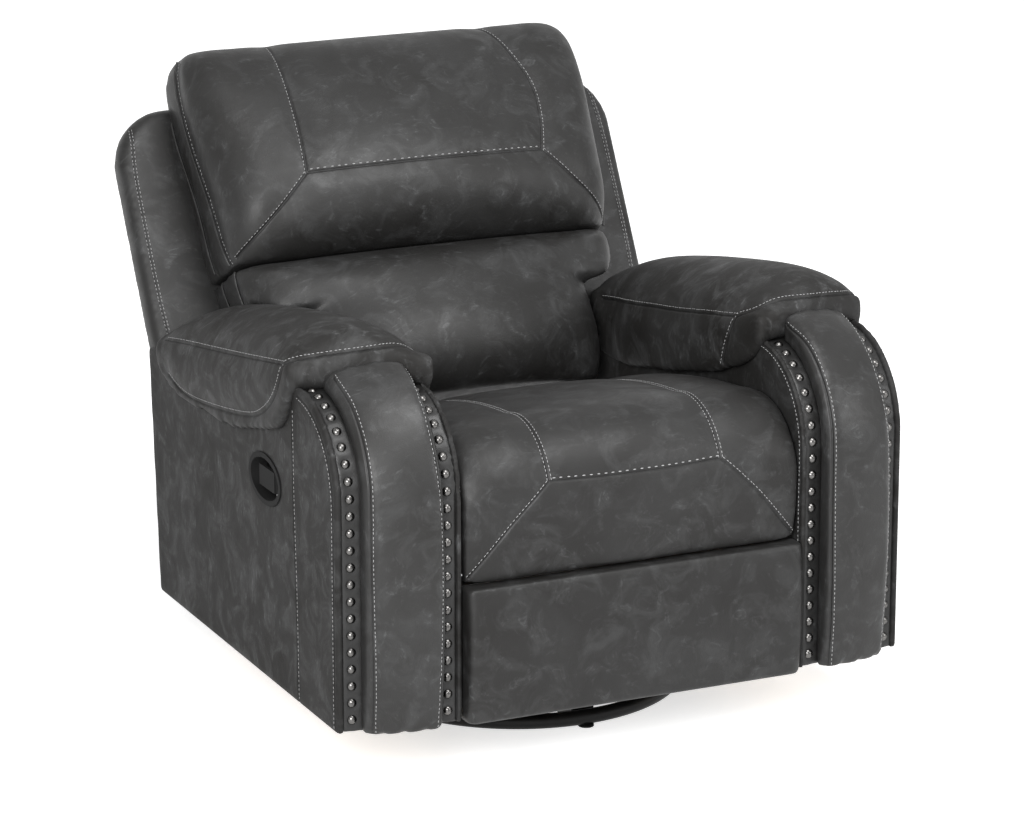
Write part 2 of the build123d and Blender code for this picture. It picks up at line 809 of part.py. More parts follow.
with BuildPart() as seat_rails:
    for side in SIDES.values():
        plane, thick = slab(side, seat_rail_x, seat_rail_out)
        with BuildSketch(plane):
            with Locations((rail_front, rail_z)):
                Rectangle(pivot_depth - rail_front, rail_h, align=(Align.MIN, Align.CENTER))
            with Locations((pivot_depth, pivot_z)):
                Circle(pivot_round)
            with Locations((leg_depth, leg_z)):
                Circle(pivot_round)
                Rectangle(2 * pivot_round, rail_z - leg_z, align=(Align.CENTER, Align.MIN))
        extrude(amount=thick)
    add(studs([(pivot_depth, pivot_z)], bracket_in - side_gap, seat_rail_out, pivot_pin).part)
    add(studs([(leg_depth, leg_z)], leg_link_x + pin_play, seat_rail_out, pivot_pin).part)
    slide_spots = [(slide_front, rail_z), (slide_rear, rail_z)]
    add(studs(slide_spots, seat_rail_x, track_x + track_plate + side_gap, slide_pin).part)
write(seat_rails, "seat_rails")

with BuildPart() as seat_front_board:
    with BuildSketch(side_plane(-seat_rail_x)):
        with Locations((seat_front, seat_board_z)):
            Rectangle(seat_board, seat_front_top - seat_board_z, align=(Align.MIN, Align.MIN))
    extrude(amount=2 * seat_rail_x)
write(seat_front_board, "seat_front_board")

with BuildPart() as seat_rear_board:
    with BuildSketch(side_plane(-seat_rail_x)):
        with Locations((seat_rear, seat_board_z)):
            Rectangle(seat_board, seat_rear_top - seat_board_z, align=(Align.MIN, Align.MIN))
    extrude(amount=2 * seat_rail_x)
write(seat_rear_board, "seat_rear_board")

# Zigzag springs stretched between the seat boards
spring_start = seat_front + seat_board
spring_span = seat_rear - spring_start
spring_z = seat_rear_top - spring_drop
leg_count = int(spring_span / spring_pitch) - 2
lead = (spring_span - (leg_count - 1) * spring_pitch) / 2
zigzag = [(0, 0), (0, lead)]
for i in range(leg_count - 1):
    swing = spring_leg if i % 2 else -spring_leg
    zigzag.append((swing, lead + i * spring_pitch))
    zigzag.append((swing, lead + (i + 1) * spring_pitch))
zigzag += [(0, lead + (leg_count - 1) * spring_pitch), (0, spring_span)]

with BuildPart() as zigzag_spring:
    with BuildLine(Plane(origin=(0, front_y + spring_start, spring_z))) as spring_path:
        FilletPolyline(*zigzag, radius=spring_bend)
    with BuildSketch(Plane(origin=spring_path.line @ 0, z_dir=spring_path.line % 0)):
        Circle(spring_wire / 2)
    sweep(path=spring_path.line)

with BuildPart() as seat_springs:
    with GridLocations(spring_spacing, 0, spring_count, 1):
        add(zigzag_spring.part)
write(seat_springs, "seat_springs")

# Seat cushion: crowned top, waterfall front and drawn-in sides

def seat_section(x, drop, draw):
    with BuildSketch(side_plane(x)) as section:
        with BuildLine():
            floor_line = Polyline(
                (lip_front + draw / 2, lip_z),
                (seat_front - seat_play, lip_z),
                (seat_front - seat_play, seat_front_top + seat_play),
                (spring_start, seat_front_top + seat_play),
                (seat_rear, seat_rear_top + seat_play),
                (seat_end, seat_rear_top + seat_play),
                (seat_end, seat_end_top - drop / 2),
            )
            top = ThreePointArc(
                floor_line @ 1,
                ((crown_depth + seat_end) / 2, crown_z - drop - (crown_z - seat_end_top) * 0.3),
                (crown_depth, crown_z - drop),
            )
            roll = ThreePointArc(
                top @ 1,
                (seat_face + draw + seat_roll, crown_z - drop - seat_roll),
                (seat_face + draw, seat_face_z - drop),
            )
            ThreePointArc(
                roll @ 1,
                (seat_face + draw + 1, (seat_face_z + lip_z) / 2),
                floor_line @ 0,
            )
        make_face()
    return section.sketch


with BuildPart() as seat_cushion:
    add(seat_section(-seat_half, side_drop, side_draw))
    add(seat_section(-seat_half * 0.88, side_drop * 0.3, side_draw * 0.25))
    add(seat_section(-seat_half * 0.55, 0, 0))
    add(seat_section(0, -seat_gap / 2, -seat_gap))
    add(seat_section(seat_half * 0.55, 0, 0))
    add(seat_section(seat_half * 0.88, side_drop * 0.3, side_draw * 0.25))
    add(seat_section(seat_half, side_drop, side_draw))
    loft()
write(seat_cushion, "seat_cushion")

# Back frame
for name, side in SIDES.items():
    with BuildPart() as back_post:
        with BuildSketch(back_side(side * post_x)):
            with Locations((frame_front, frame_low)):
                Rectangle(frame_rear - frame_front, frame_top - frame_low, align=(Align.MIN, Align.MIN))
        extrude(amount=side * post_w)
    write(back_post, f"back_post_{name}")

with BuildPart() as back_rails:
    with BuildSketch(back_side(-post_x)):
        with Locations((frame_front, frame_low), (frame_front, frame_top - rail_w)):
            Rectangle(frame_rear - frame_front, rail_w, align=(Align.MIN, Align.MIN))
    extrude(amount=2 * post_x)
write(back_rails, "back_rails")

with BuildPart() as outside_back_panel:
    with BuildSketch(back_face(-frame_rear)):
        with Locations((0, frame_low)):
            Rectangle(2 * panel_low_half, panel_waist - frame_low, align=(Align.CENTER, Align.MIN))
        with BuildLine():
            low = Polyline((-panel_half, panel_high - panel_corner), (-panel_half, panel_waist),
                           (panel_half, panel_waist), (panel_half, panel_high - panel_corner))
            right = RadiusArc(low @ 1, (panel_half - panel_corner, panel_high), -panel_corner)
            high = Line(right @ 1, (panel_corner - panel_half, panel_high))
            RadiusArc(high @ 1, low @ 0, -panel_corner)
        make_face()
    extrude(amount=-outside_panel)
write(outside_back_panel, "outside_back_panel")

for name, side in SIDES.items():
    with BuildPart() as wing:
        with BuildSketch(back_face(-frame_rear)):
            with BuildLine():
                low = Polyline(
                    (side * wing_inner, wing_high),
                    (side * wing_inner, panel_waist),
                    (side * wing_half, panel_waist),
                    (side * wing_half, wing_high - wing_corner),
                )
                bend = RadiusArc(low @ 1, (side * (wing_half - wing_corner), wing_high), -side * wing_corner)
                Line(bend @ 1, low @ 0)
            make_face()
        extrude(amount=frame_rear - frame_front)
        front_edges = wing.faces().sort_by(Axis((0, 0, 0), (0, -up_z, up_y)))[-1].edges()
        fillet(front_edges, radius=wing_round)
    write(wing, f"wing_{name}")

# Recline brackets from the posts to the pivots
pivot_rear = up_z * (pivot_depth - back_depth) - up_y * (pivot_z - back_z)
pivot_rise = up_y * (pivot_depth - back_depth) + up_z * (pivot_z - back_z)

with BuildPart() as back_brackets:
    for side in SIDES.values():
        with BuildSketch(back_side(side * bracket_in)):
            with BuildLine():
                Polyline(
                    (pivot_rear, pivot_rise - pivot_round),
                    (frame_rear - bracket_edge, bracket_low),
                    (frame_rear - bracket_edge, bracket_high),
                    (frame_front + cushion_gap, bracket_high),
                    (frame_front + cushion_gap, lumbar_low - bracket_edge),
                    (pivot_rear, lumbar_low - bracket_edge),
                    close=True,
                )
            make_face()
            with Locations((pivot_rear, pivot_rise)):
                Circle(pivot_round)
                Circle(pivot_pin / 2 + pin_play, mode=Mode.SUBTRACT)
        extrude(amount=side * (bracket_out - bracket_in))
write(back_brackets, "back_brackets")

# Back cushions: boxed sides up to the piping, then a crowned front
cushion_rear = -frame_front + cushion_gap


def cushion_section(rise, half, edge, crown, rear=cushion_rear):
    shoulder = edge + (crown - edge) * 0.72
    corner = (half - corner_w * 0.22, edge + (shoulder - edge) * 0.62)
    with BuildSketch(back_level(rise)) as section:
        with BuildLine():
            sides = Polyline((-half, edge), (-half, rear), (half, rear), (half, edge))
            right = ThreePointArc(sides @ 1, corner, (half - corner_w, shoulder))
            front = ThreePointArc(right @ 1, (0, crown), (corner_w - half, shoulder))
            ThreePointArc(front @ 1, (-corner[0], corner[1]), sides @ 0)
        make_face()
    return section.sketch


def back_cushion(sections):
    """A cushion through sections up the back, flat where it lies on the frame."""
    with BuildPart() as cushion:
        for section in sections:
            add(section)
        loft()
        with BuildSketch(back_face(cushion_rear)):
            Rectangle(2 * panel_half, 2 * head_high)
        extrude(amount=-frame_front, mode=Mode.SUBTRACT)
    return cushion


lumbar_full = lumbar_wide + lumbar_flare
with BuildPart() as lumbar_cushion:
    between_arms = back_cushion(
        [
            cushion_section(lumbar_low, lumbar_half - side_draw, piping, lumbar_crown * 0.72),
            cushion_section(lumbar_low + lumbar_fill, lumbar_half, piping, lumbar_crown),
            cushion_section(lumbar_wide - lumbar_neck, lumbar_half, piping, lumbar_crown * 0.94),
            cushion_section(lumbar_wide + lumbar_round, lumbar_half, piping, lumbar_crown * 0.8),
        ]
    )
    add(between_arms.part)
    above_arms = back_cushion(
        [
            cushion_section(lumbar_wide, head_half - 2 * lumbar_round, piping, lumbar_crown * 0.78),
            cushion_section(lumbar_full, head_half - lumbar_round, piping, lumbar_crown * 0.66),
            cushion_section(head_low - cushion_gap, head_half - head_draw, piping, lumbar_crown * 0.3),
        ]
    )
    add(above_arms.part)
write(lumbar_cushion, "lumbar_cushion")

head_rise = head_high - head_low
head_shoulder_rise = head_high - head_shoulder
top_rear = cushion_rear + head_top_rear
head_cushion = back_cushion(
    [
        cushion_section(head_low, head_half - head_draw, piping, head_crown * 0.4),
        cushion_section(head_low + head_rise * 0.14, head_half, piping, head_crown * 0.9),
        cushion_section(head_low + head_rise * 0.32, head_half, piping, head_crown),
        cushion_section(head_low + head_rise * 0.68, head_half, piping, head_crown * 0.62),
        cushion_section(head_shoulder_rise, head_half - head_draw, piping - corner_sink, head_crown * 0.2),
        cushion_section(head_high, head_top_half, piping - head_top_edge, piping - head_top_crown, top_rear),
    ]
)
write(head_cushion, "head_cushion")

# Legrest: two link pairs that unfold from below the seat
reach = hypot(leg_depth - foot_pivot_depth, leg_z - foot_pivot_z)
chord = atan2(foot_pivot_z - leg_z, leg_depth - foot_pivot_depth)
fold = acos((lower_link**2 + reach**2 - upper_link**2) / (2 * lower_link * reach))
knee_depth = leg_depth - lower_link * cos(chord - fold)
knee_z = leg_z + lower_link * sin(chord - fold)
leg_link_out = leg_link_x + link_plate
upper_link_out = leg_link_x - leg_step
upper_link_in = upper_link_out - link_plate


def leg_links(near, far, ends):
    """A left and a right link; each end gives its place and its bore, 0 where a stud is riveted in."""
    with BuildPart() as links:
        for side in SIDES.values():
            plane, thick = slab(side, near, far)
            with BuildSketch(plane):
                with Locations(*[spot for spot, bore in ends]):
                    Circle(leg_round)
                make_hull()
                for spot, bore in ends:
                    if bore:
                        with Locations(spot):
                            Circle(bore / 2, mode=Mode.SUBTRACT)
            extrude(amount=thick)
    return links


leg_spot, knee, foot_spot = (leg_depth, leg_z), (knee_depth, knee_z), (foot_pivot_depth, foot_pivot_z)
turning_pivot = pivot_pin + 2 * pin_play
turning_leg = leg_pin + 2 * pin_play

with BuildPart() as legrest_lower_links:
    add(leg_links(leg_link_x, leg_link_out, [(leg_spot, turning_pivot), (knee, 0)]).part)
    add(studs([knee], upper_link_in - side_gap, leg_link_out, leg_pin).part)
write(legrest_lower_links, "legrest_lower_links")

upper_ends = [(knee, turning_leg), (foot_spot, turning_leg)]
legrest_upper_links = leg_links(upper_link_in, upper_link_out, upper_ends)
write(legrest_upper_links, "legrest_upper_links")

with BuildPart() as legrest_torque_tube:
    with BuildSketch(side_plane(-leg_link_x)):
        with Locations(leg_spot):
            Circle(torque_d / 2)
    extrude(amount=2 * leg_link_x)
write(legrest_torque_tube, "legrest_torque_tube")

footboard_front = footrest_back + seat_play
footboard_rear = footboard_front + footboard
footboard_tall = footrest_high - footrest_low - 2 * footboard_margin

with BuildPart() as footrest_board:
    with BuildSketch(side_plane(-footrest_half + footboard_margin)):
        with Locations((footboard_front, footrest_low + footboard_margin)):
            Rectangle(footboard, footboard_tall, align=(Align.MIN, Align.MIN))
    extrude(amount=2 * (footrest_half - footboard_margin))
write(footrest_board, "footrest_board")

with BuildPart() as footrest_brackets:
    for side in SIDES.values():
        plane, thick = slab(side, leg_bracket_x, leg_bracket_x + link_plate)
        with BuildSketch(plane):
            with Locations(foot_spot):
                Circle(leg_round)
            with Locations((footboard_rear, foot_pivot_z)):
                Rectangle(link_plate, foot_bracket_h, align=(Align.MIN, Align.CENTER))
            make_hull()
        extrude(amount=thick)
    add(studs([foot_spot], leg_bracket_x, upper_link_out + leg_step / 2, leg_pin).part)
write(footrest_brackets, "footrest_brackets")

with BuildPart() as footrest_pad:
    with BuildSketch(side_plane(-footrest_half)):
        with BuildLine():
            face = ThreePointArc(
                (footrest_hem, footrest_low),
                (footrest_crown, (footrest_low + footrest_high) / 2),
                (footrest_hem, footrest_high),
            )
            Polyline(face @ 1, (footboard_rear, footrest_high), (footboard_rear, footrest_low), face @ 0)
        make_face()
    extrude(amount=2 * footrest_half)
    fillet(footrest_pad.edges().filter_by(GeomType.CIRCLE), radius=footrest_edge)
    pocket_half = footrest_half - footboard_margin + seat_play
    pocket_deep = footboard + 2 * seat_play
    with BuildSketch(side_plane(-pocket_half)):
        with Locations((footrest_back, (footrest_low + footrest_high) / 2)):
            Rectangle(pocket_deep, footboard_tall + 2 * seat_play, align=(Align.MIN, Align.CENTER))
    extrude(amount=2 * pocket_half, mode=Mode.SUBTRACT)
write(footrest_pad, "footrest_pad")
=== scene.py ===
# %% [markdown]
# # A swivel glider recliner in charcoal leather-look cover
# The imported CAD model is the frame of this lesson. It gives every solid in metres, so nothing has to be fitted by eye.
# Hard pieces keep their CAD mesh and get a finish.
# Soft pieces are copies of their solids that are padded, sewn and stitched.

# %% Load the frame
import json
from math import cos, radians, sin, tan

import bmesh
import bpy
from mathutils import Matrix, Vector, kdtree
from mathutils.bvhtree import BVHTree


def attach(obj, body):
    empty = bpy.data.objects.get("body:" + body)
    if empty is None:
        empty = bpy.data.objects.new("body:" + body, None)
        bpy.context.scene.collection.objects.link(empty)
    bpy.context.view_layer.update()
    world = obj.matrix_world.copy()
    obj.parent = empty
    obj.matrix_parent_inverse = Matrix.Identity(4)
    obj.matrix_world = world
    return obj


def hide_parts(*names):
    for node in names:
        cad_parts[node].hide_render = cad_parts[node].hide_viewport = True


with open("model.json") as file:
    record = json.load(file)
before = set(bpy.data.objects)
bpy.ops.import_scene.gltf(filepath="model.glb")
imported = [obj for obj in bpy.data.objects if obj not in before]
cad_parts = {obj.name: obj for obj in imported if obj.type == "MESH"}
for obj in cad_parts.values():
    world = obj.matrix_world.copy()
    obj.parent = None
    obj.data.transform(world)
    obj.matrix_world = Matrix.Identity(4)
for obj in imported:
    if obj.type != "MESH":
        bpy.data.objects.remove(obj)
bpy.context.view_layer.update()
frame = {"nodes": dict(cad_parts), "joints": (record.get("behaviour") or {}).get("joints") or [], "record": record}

# %% [markdown]
# ## Places on the chair
# The source of the part measures depth from the arm fronts, and heights up the leaning back from its reference point.
# Small functions turn such places into metres, so a seam is written in the numbers an upholsterer would chalk on.

# %% Places in millimetres
pivot = next(j for j in frame["joints"] if j["name"] == "recline")["pos_m"]
FRONT = pivot[1] - 0.720
LEAN = radians(29.0)
BACK_DEPTH, BACK_HEIGHT = 690, 400  # the back's reference point
ARM_INNER, ARM_SIDE, PAD_SIDE = 298.0, 496, 507  # faces of the arm and its pad, from the middle
ARM_TOE = tan(radians(9.0))  # how much the arm fronts fall back toward their outsides
CURVE_ROUND, CURVE_HEIGHT = 150, 472  # the arm's front curve


def chalk(x, depth, z):
    """A place on the arms or the seat: across, behind the arm fronts, above the floor."""
    return Vector((x / 1000, FRONT + depth / 1000, z / 1000))


def chalk_back(x, rise, ahead):
    """A place on the back: across, up the back, ahead of its reference plane."""
    depth = BACK_DEPTH + sin(LEAN) * rise - cos(LEAN) * ahead
    return chalk(x, depth, BACK_HEIGHT + cos(LEAN) * rise + sin(LEAN) * ahead)


def on_back(p):
    """How far up the back, and how far ahead of its reference plane, a point lies."""
    depth, height = (p.y - FRONT) * 1000 - BACK_DEPTH, p.z * 1000 - BACK_HEIGHT
    return sin(LEAN) * depth + cos(LEAN) * height, sin(LEAN) * height - cos(LEAN) * depth


def chalked(*places):
    return [chalk(*place) for place in places]


def chalked_back(*places):
    return [chalk_back(*place) for place in places]


def depth_of(p):
    """How far behind the arm fronts a point lies."""
    return (p.y - FRONT) * 1000


print("arm fronts at y =", round(FRONT, 5))

# %% [markdown]
# ## Camera
# The photograph was taken with a long lens, a little above the seat and to the sitter's right.
# Its angles were fitted to the edges of the arms, seat and ring, so the camera is set from those numbers.


# %% Camera
def placed(name, data):
    """A new object in the scene."""
    thing = bpy.data.objects.new(name, data)
    bpy.context.scene.collection.objects.link(thing)
    return thing


azimuth, elevation, distance = radians(-24.86), radians(15.96), 7.0561
aim = Vector((-0.01422, 0.42672 + FRONT, 0.46568))
back_off = Vector((sin(azimuth) * cos(elevation), -cos(azimuth) * cos(elevation), sin(elevation)))
camera_data = bpy.data.cameras.new("photo_camera")
camera_data.lens, camera_data.sensor_width = 149.94, 36.0
camera = placed("photo_camera", camera_data)
camera.location = aim + back_off * distance
camera.rotation_euler = (-back_off).to_track_quat("-Z", "Y").to_euler()
bpy.context.scene.camera = camera
print("camera at", [round(v, 3) for v in camera.location])

# %% [markdown]
# ## A way to write materials
# Every finish is a small node tree around one Principled shader. A helper adds a node, sets its sockets and links it,
# which keeps each recipe readable: where the pattern comes from, how it is shaped, and which socket it drives.


# %% Node helper
class Recipe:
    """One material: nodes are added by kind, and a socket takes a value or another node's output."""

    def __init__(self, name):
        self.material = bpy.data.materials.new(name)
        self.material.use_nodes = True
        self.tree = self.material.node_tree
        self.shader = self.tree.nodes["Principled BSDF"]

    def put(self, socket, value):
        if isinstance(value, bpy.types.NodeSocket):
            self.tree.links.new(value, socket)
        else:
            socket.default_value = value

    def add(self, kind, settings=None, **sockets):
        node = self.tree.nodes.new("ShaderNode" + kind)
        for key, value in (settings or {}).items():
            setattr(node, key, value)
        for key, value in sockets.items():
            self.put(node.inputs[key.replace("_", " ")], value)
        return node

    def mix(self, factor, first, second, blend="MIX"):
        node = self.add("Mix", {"data_type": "RGBA", "blend_type": blend})
        self.put(node.inputs[0], factor)
        self.put(node.inputs[6], first)
        self.put(node.inputs[7], second)
        return node.outputs[2]

    def ramp(self, value, low, high):
        node = self.add("MapRange", {"clamp": True}, Value=value, From_Min=low, From_Max=high)
        return node.outputs[0]

    def maths(self, operation, first, second):
        node = self.add("Math", {"operation": operation})
        self.put(node.inputs[0], first)
        self.put(node.inputs[1], second)
        return node.outputs[0]

    def place(self, shift=(0, 0, 0), turn=(0, 0, 0), stretch=(1, 1, 1)):
        coords = self.add("TexCoord")
        mapping = self.add("Mapping", None, Location=shift, Rotation=turn, Scale=stretch)
        self.put(mapping.inputs["Vector"], coords.outputs["Object"])
        return mapping.outputs[0]

    def noise(self, where, scale, detail=3.0, rough=0.5, swirl=0.0):
        node = self.add("TexNoise", None, Scale=scale, Detail=detail, Roughness=rough, Distortion=swirl)
        self.put(node.inputs["Vector"], where)
        return node.outputs["Fac"]

    def bump(self, height, strength, reach, under=None):
        node = self.add("Bump", None, Strength=strength, Distance=reach, Height=height)
        if under is not None:
            self.put(node.inputs["Normal"], under)
        return node.outputs[0]

    def finish(self, **sockets):
        for key, value in sockets.items():
            self.put(self.shader.inputs[key.replace("_", " ")], value)
        return self.material


def grey(level, warm=0.0):
    """A linear grey, pushed a little to the warm or the cool side."""
    return (level * (1 + warm), level, level * (1 - warm), 1.0)


print("recipes ready")

# %% [markdown]
# ## The leather-look cover
# The real cover is a charcoal faux leather with a distressed print: soft clouds, lighter rubbed patches, short scuffs.
# One picture could show that, but pictures are not used here, so four noises of different sizes lie over each other.
# A very fine cell pattern gives the grain, and a number stored on the points paints shade into the sewn valleys.

# %% Leather recipe
CLOUD_DARK, CLOUD_LIGHT, RUBBED, SCUFFED, SPECK, PAINTED_SEAM_SHADE = 0.008, 0.018, 0.042, 0.095, 0.008, 0.006  # linear greys
GLOSS_GAIN = 0.14  # how much smoother the rubbed patches are


def charcoal_cover(name, shift, depth=1.0, matt=0.52, specular=0.28):
    r = Recipe(name)
    here = r.place(shift)
    clouds = r.noise(here, 6.5, 3.0, 0.55, 0.6)
    patches = r.noise(here, 17.0, 5.0, 0.62, 1.1)
    streaks = r.noise(r.place(shift, (0.5, 0.3, 0.7), (1.0, 3.2, 1.0)), 30.0, 6.0, 0.68, 1.6)
    specks = r.noise(here, 95.0, 4.0, 0.6, 0.4)
    tone = r.mix(r.ramp(clouds, 0.32, 0.68), grey(CLOUD_DARK * depth, 0.06), grey(CLOUD_LIGHT * depth, 0.01))
    rubbed = r.maths("MULTIPLY", r.ramp(patches, 0.48, 0.72), 0.65)
    tone = r.mix(rubbed, tone, grey(RUBBED * depth, -0.01))
    scuffs = r.maths("MULTIPLY", r.ramp(streaks, 0.56, 0.76), r.ramp(patches, 0.38, 0.62))
    tone = r.mix(r.maths("MULTIPLY", scuffs, 0.75), tone, grey(SCUFFED * depth, -0.02))
    speckled = r.maths("MULTIPLY", r.ramp(specks, 0.35, 0.75), 0.3)
    tone = r.mix(speckled, tone, grey(SPECK * depth, 0.03))
    # Painted shade: the stored valley number darkens the cover to a near-black grey along the bottom of each seam.
    valley = r.add("Attribute", {"attribute_name": "valley"}).outputs["Fac"]
    tone = r.mix(r.maths("MULTIPLY", valley, 0.82), tone, grey(PAINTED_SEAM_SHADE, 0.0))
    cells = r.add("TexVoronoi", {"feature": "F1"}, Scale=620.0, Randomness=1.0)
    r.put(cells.inputs["Vector"], here)
    creases = r.noise(here, 210.0, 4.0, 0.6, 0.8)
    skin = r.bump(cells.outputs["Distance"], 0.16, 0.0006)
    skin = r.bump(creases, 0.14, 0.0012, skin)
    skin = r.bump(streaks, 0.10, 0.0020, skin)
    shine = r.add("MapRange", None, Value=patches, From_Min=0.3, From_Max=0.75, To_Min=matt, To_Max=matt - GLOSS_GAIN)
    return r.finish(Base_Color=tone, Roughness=shine.outputs[0], Normal=skin, Specular_IOR_Level=specular)


# The third number scales a copy's greys. All copies are one leather, so the lighter arm and pad copies and the darker
# seat copy are painted light and shade: they brighten the sides the lamps leave dim and darken the well-lit seat.
cover = {
    "seat": charcoal_cover("cover_seat", (0.0, 0.0, 0.0), 0.9, 0.54, 0.25),
    "back": charcoal_cover("cover_back", (3.1, 1.7, 0.4)),
    "head": charcoal_cover("cover_head", (7.3, 2.9, 5.1)),
    "arm": charcoal_cover("cover_arm", (1.9, 6.2, 2.3), 1.25, 0.70, 0.12),
    "pad": charcoal_cover("cover_pad", (4.4, 8.1, 7.7), 1.4, 0.64, 0.12),
    "panel": charcoal_cover("cover_panel", (5.2, 4.7, 9.1), 1.0, 0.50, 0.3),
    "trim": charcoal_cover("cover_trim", (9.6, 3.3, 1.2), 0.6, 0.5, 0.35),
}
print("covers:", sorted(cover))


# %% [markdown]
# ## Thread, metal, plastic and wood
# The other finishes are quieter. Thread is a pale grey twist, the nails are dark nickel, the ring is painted steel,
# the release cup is grained plastic, and the boards inside are raw plywood. Each still varies from place to place.


# %% Other recipes
def thread_finish():
    r = Recipe("stitching_thread")
    twist = r.noise(r.place(), 900.0, 2.0)
    tone = r.mix(twist, grey(0.20), grey(0.36))
    return r.finish(Base_Color=tone, Roughness=0.75, Normal=r.bump(twist, 0.3, 0.0004))


def nickel_finish():
    r = Recipe("dark_nickel")
    rub = r.noise(r.place(), 240.0, 4.0, 0.6)
    tone = r.mix(rub, grey(0.05, 0.03), grey(0.16, 0.03))
    rough = r.add("MapRange", None, Value=rub, To_Min=0.20, To_Max=0.34).outputs[0]
    return r.finish(Base_Color=tone, Metallic=1.0, Roughness=rough)


def painted_finish(name, level, metal, low, high):
    r = Recipe(name)
    peel = r.noise(r.place(), 420.0, 3.0, 0.6)
    wear = r.noise(r.place(), 35.0, 5.0, 0.6, 0.5)
    tone = r.mix(r.ramp(wear, 0.4, 0.75), grey(level), grey(level * 1.9))
    rough = r.add("MapRange", None, Value=wear, To_Min=low, To_Max=high).outputs[0]
    return r.finish(Base_Color=tone, Metallic=metal, Roughness=rough, Normal=r.bump(peel, 0.08, 0.0005),
                    Specular_IOR_Level=0.2)


def plywood_finish():
    r = Recipe("raw_plywood")
    grain = r.noise(r.place((0, 0, 0), (0, 0, 0), (1.0, 1.0, 0.12)), 90.0, 5.0, 0.6, 0.7)
    tone = r.mix(r.ramp(grain, 0.3, 0.7), (0.50, 0.34, 0.19, 1), (0.66, 0.50, 0.31, 1))
    return r.finish(Base_Color=tone, Roughness=0.7, Normal=r.bump(grain, 0.2, 0.0008))


finishes = {
    "nail_metal": nickel_finish(),
    "black_plastic": painted_finish("grained_plastic", 0.004, 0.0, 0.75, 0.9),
    "black_steel": painted_finish("ring_paint", 0.006, 0.0, 0.36, 0.52),
    "linkage_steel": painted_finish("oxide_steel", 0.035, 0.7, 0.4, 0.6),
    "bright_steel": painted_finish("zinc_steel", 0.45, 1.0, 0.25, 0.45),
    "frame_wood": plywood_finish(),
    "upholstery": cover["trim"],
}
thread = thread_finish()

node_slots = {s["node"]: s["material_slot"] for s in frame["record"]["subparts"]}
for node, solid in frame["nodes"].items():
    solid.data.materials.clear()
    solid.data.materials.append(finishes[node_slots[node]])
print("finished", len(node_slots), "CAD nodes in", len(finishes), "materials")

# %% [markdown]
# ## From a solid to a padded form
# A CAD solid is loose triangles of many sizes. Cloth needs even squares, so a merged copy goes through a voxel remesh.
# The copy is eased with smoothing and drawn in a little, because the filling will push it out again.


# %% Even copies of solids
def settle(piece):
    """Makes the modifiers' result the mesh itself."""
    shown = piece.evaluated_get(bpy.context.evaluated_depsgraph_get())
    mesh = bpy.data.meshes.new_from_object(shown)
    piece.modifiers.clear()
    piece.data = mesh


def ease(b, verts, times):
    for _ in range(times):
        bmesh.ops.smooth_vert(b, verts=verts, factor=0.5, use_axis_x=True, use_axis_y=True, use_axis_z=True)


def ease_part(piece, chosen, times):
    """Smooths only the points that chosen(point) names."""
    b = bmesh.new()
    b.from_mesh(piece.data)
    ease(b, [v for v in b.verts if chosen(v.co)], times)
    b.to_mesh(piece.data)
    b.free()


def blend(value, low, high):
    """A soft step from 0 to 1."""
    t = min(1.0, max(0.0, (value - low) / (high - low)))
    return t * t * (3 - 2 * t)


def reshape(piece, moved):
    """Moves every point by what moved(point, normal) gives."""
    b = bmesh.new()
    b.from_mesh(piece.data)
    b.normal_update()
    moves = [moved(v.co, v.normal) for v in b.verts]
    for v, move in zip(b.verts, moves):
        v.co += move
    b.to_mesh(piece.data)
    b.free()


def soft_copy(name, node, voxel, eased=3, drawn=0.0, fuller=None):
    """An even copy of a solid; fuller(point) may thicken it first, where it is too thin for the squares."""
    b = bmesh.new()
    b.from_mesh(frame["nodes"][node].data)
    bmesh.ops.remove_doubles(b, verts=b.verts, dist=1e-5)
    if fuller:
        for v in b.verts:
            v.co += fuller(v.co)
    mesh = bpy.data.meshes.new(name)
    b.to_mesh(mesh)
    b.free()
    piece = placed(name, mesh)
    even = piece.modifiers.new("even", "REMESH")
    even.mode, even.voxel_size = "VOXEL", voxel
    settle(piece)
    b = bmesh.new()
    b.from_mesh(piece.data)
    ease(b, b.verts, eased)
    b.normal_update()
    for v in b.verts:
        v.co -= v.normal * drawn
    b.to_mesh(piece.data)
    b.free()
    return piece


print("soft copies ready")

# %% [markdown]
# ## Filling
# Real foam presses the cover outward everywhere but where it is sewn or tacked down.
# Blender's Cloth does the same with pressure: the sewn and hidden points are held, the rest may swell up to a cap.


# %% Filling by cloth
def fill_padding(piece, held, cap, push=4.0):
    """Swells a piece with cloth pressure; held(point, normal) says which points stay."""
    start = [v.co.copy() for v in piece.data.vertices]
    tacks = piece.vertex_groups.new(name="tacked")
    tacks.add([v.index for v in piece.data.vertices if held(v.co, v.normal)], 1.0, "REPLACE")
    cloth = piece.modifiers.new("filling", "CLOTH")
    rules = cloth.settings
    rules.vertex_group_mass = "tacked"
    rules.quality = 4
    rules.tension_stiffness = rules.compression_stiffness = 12.0
    rules.bending_stiffness = 0.6
    rules.use_pressure, rules.uniform_pressure_force = True, push
    rules.effector_weights.gravity = 0.0
    cloth.collision_settings.use_collision = False
    scene = bpy.context.scene
    scene.frame_start, scene.frame_end = 1, 20
    for frame_number in range(1, 21):
        scene.frame_set(frame_number)
    settle(piece)
    scene.frame_set(1)
    most = 0.0
    for v, was in zip(piece.data.vertices, start):
        move = v.co - was
        most = max(most, move.length)
        if move.length > cap:
            v.co = was + move * (cap / move.length)
    piece.vertex_groups.clear()
    print(piece.name, "swelled by up to", round(most * 1000, 1), "mm, capped at", round(cap * 1000, 1))


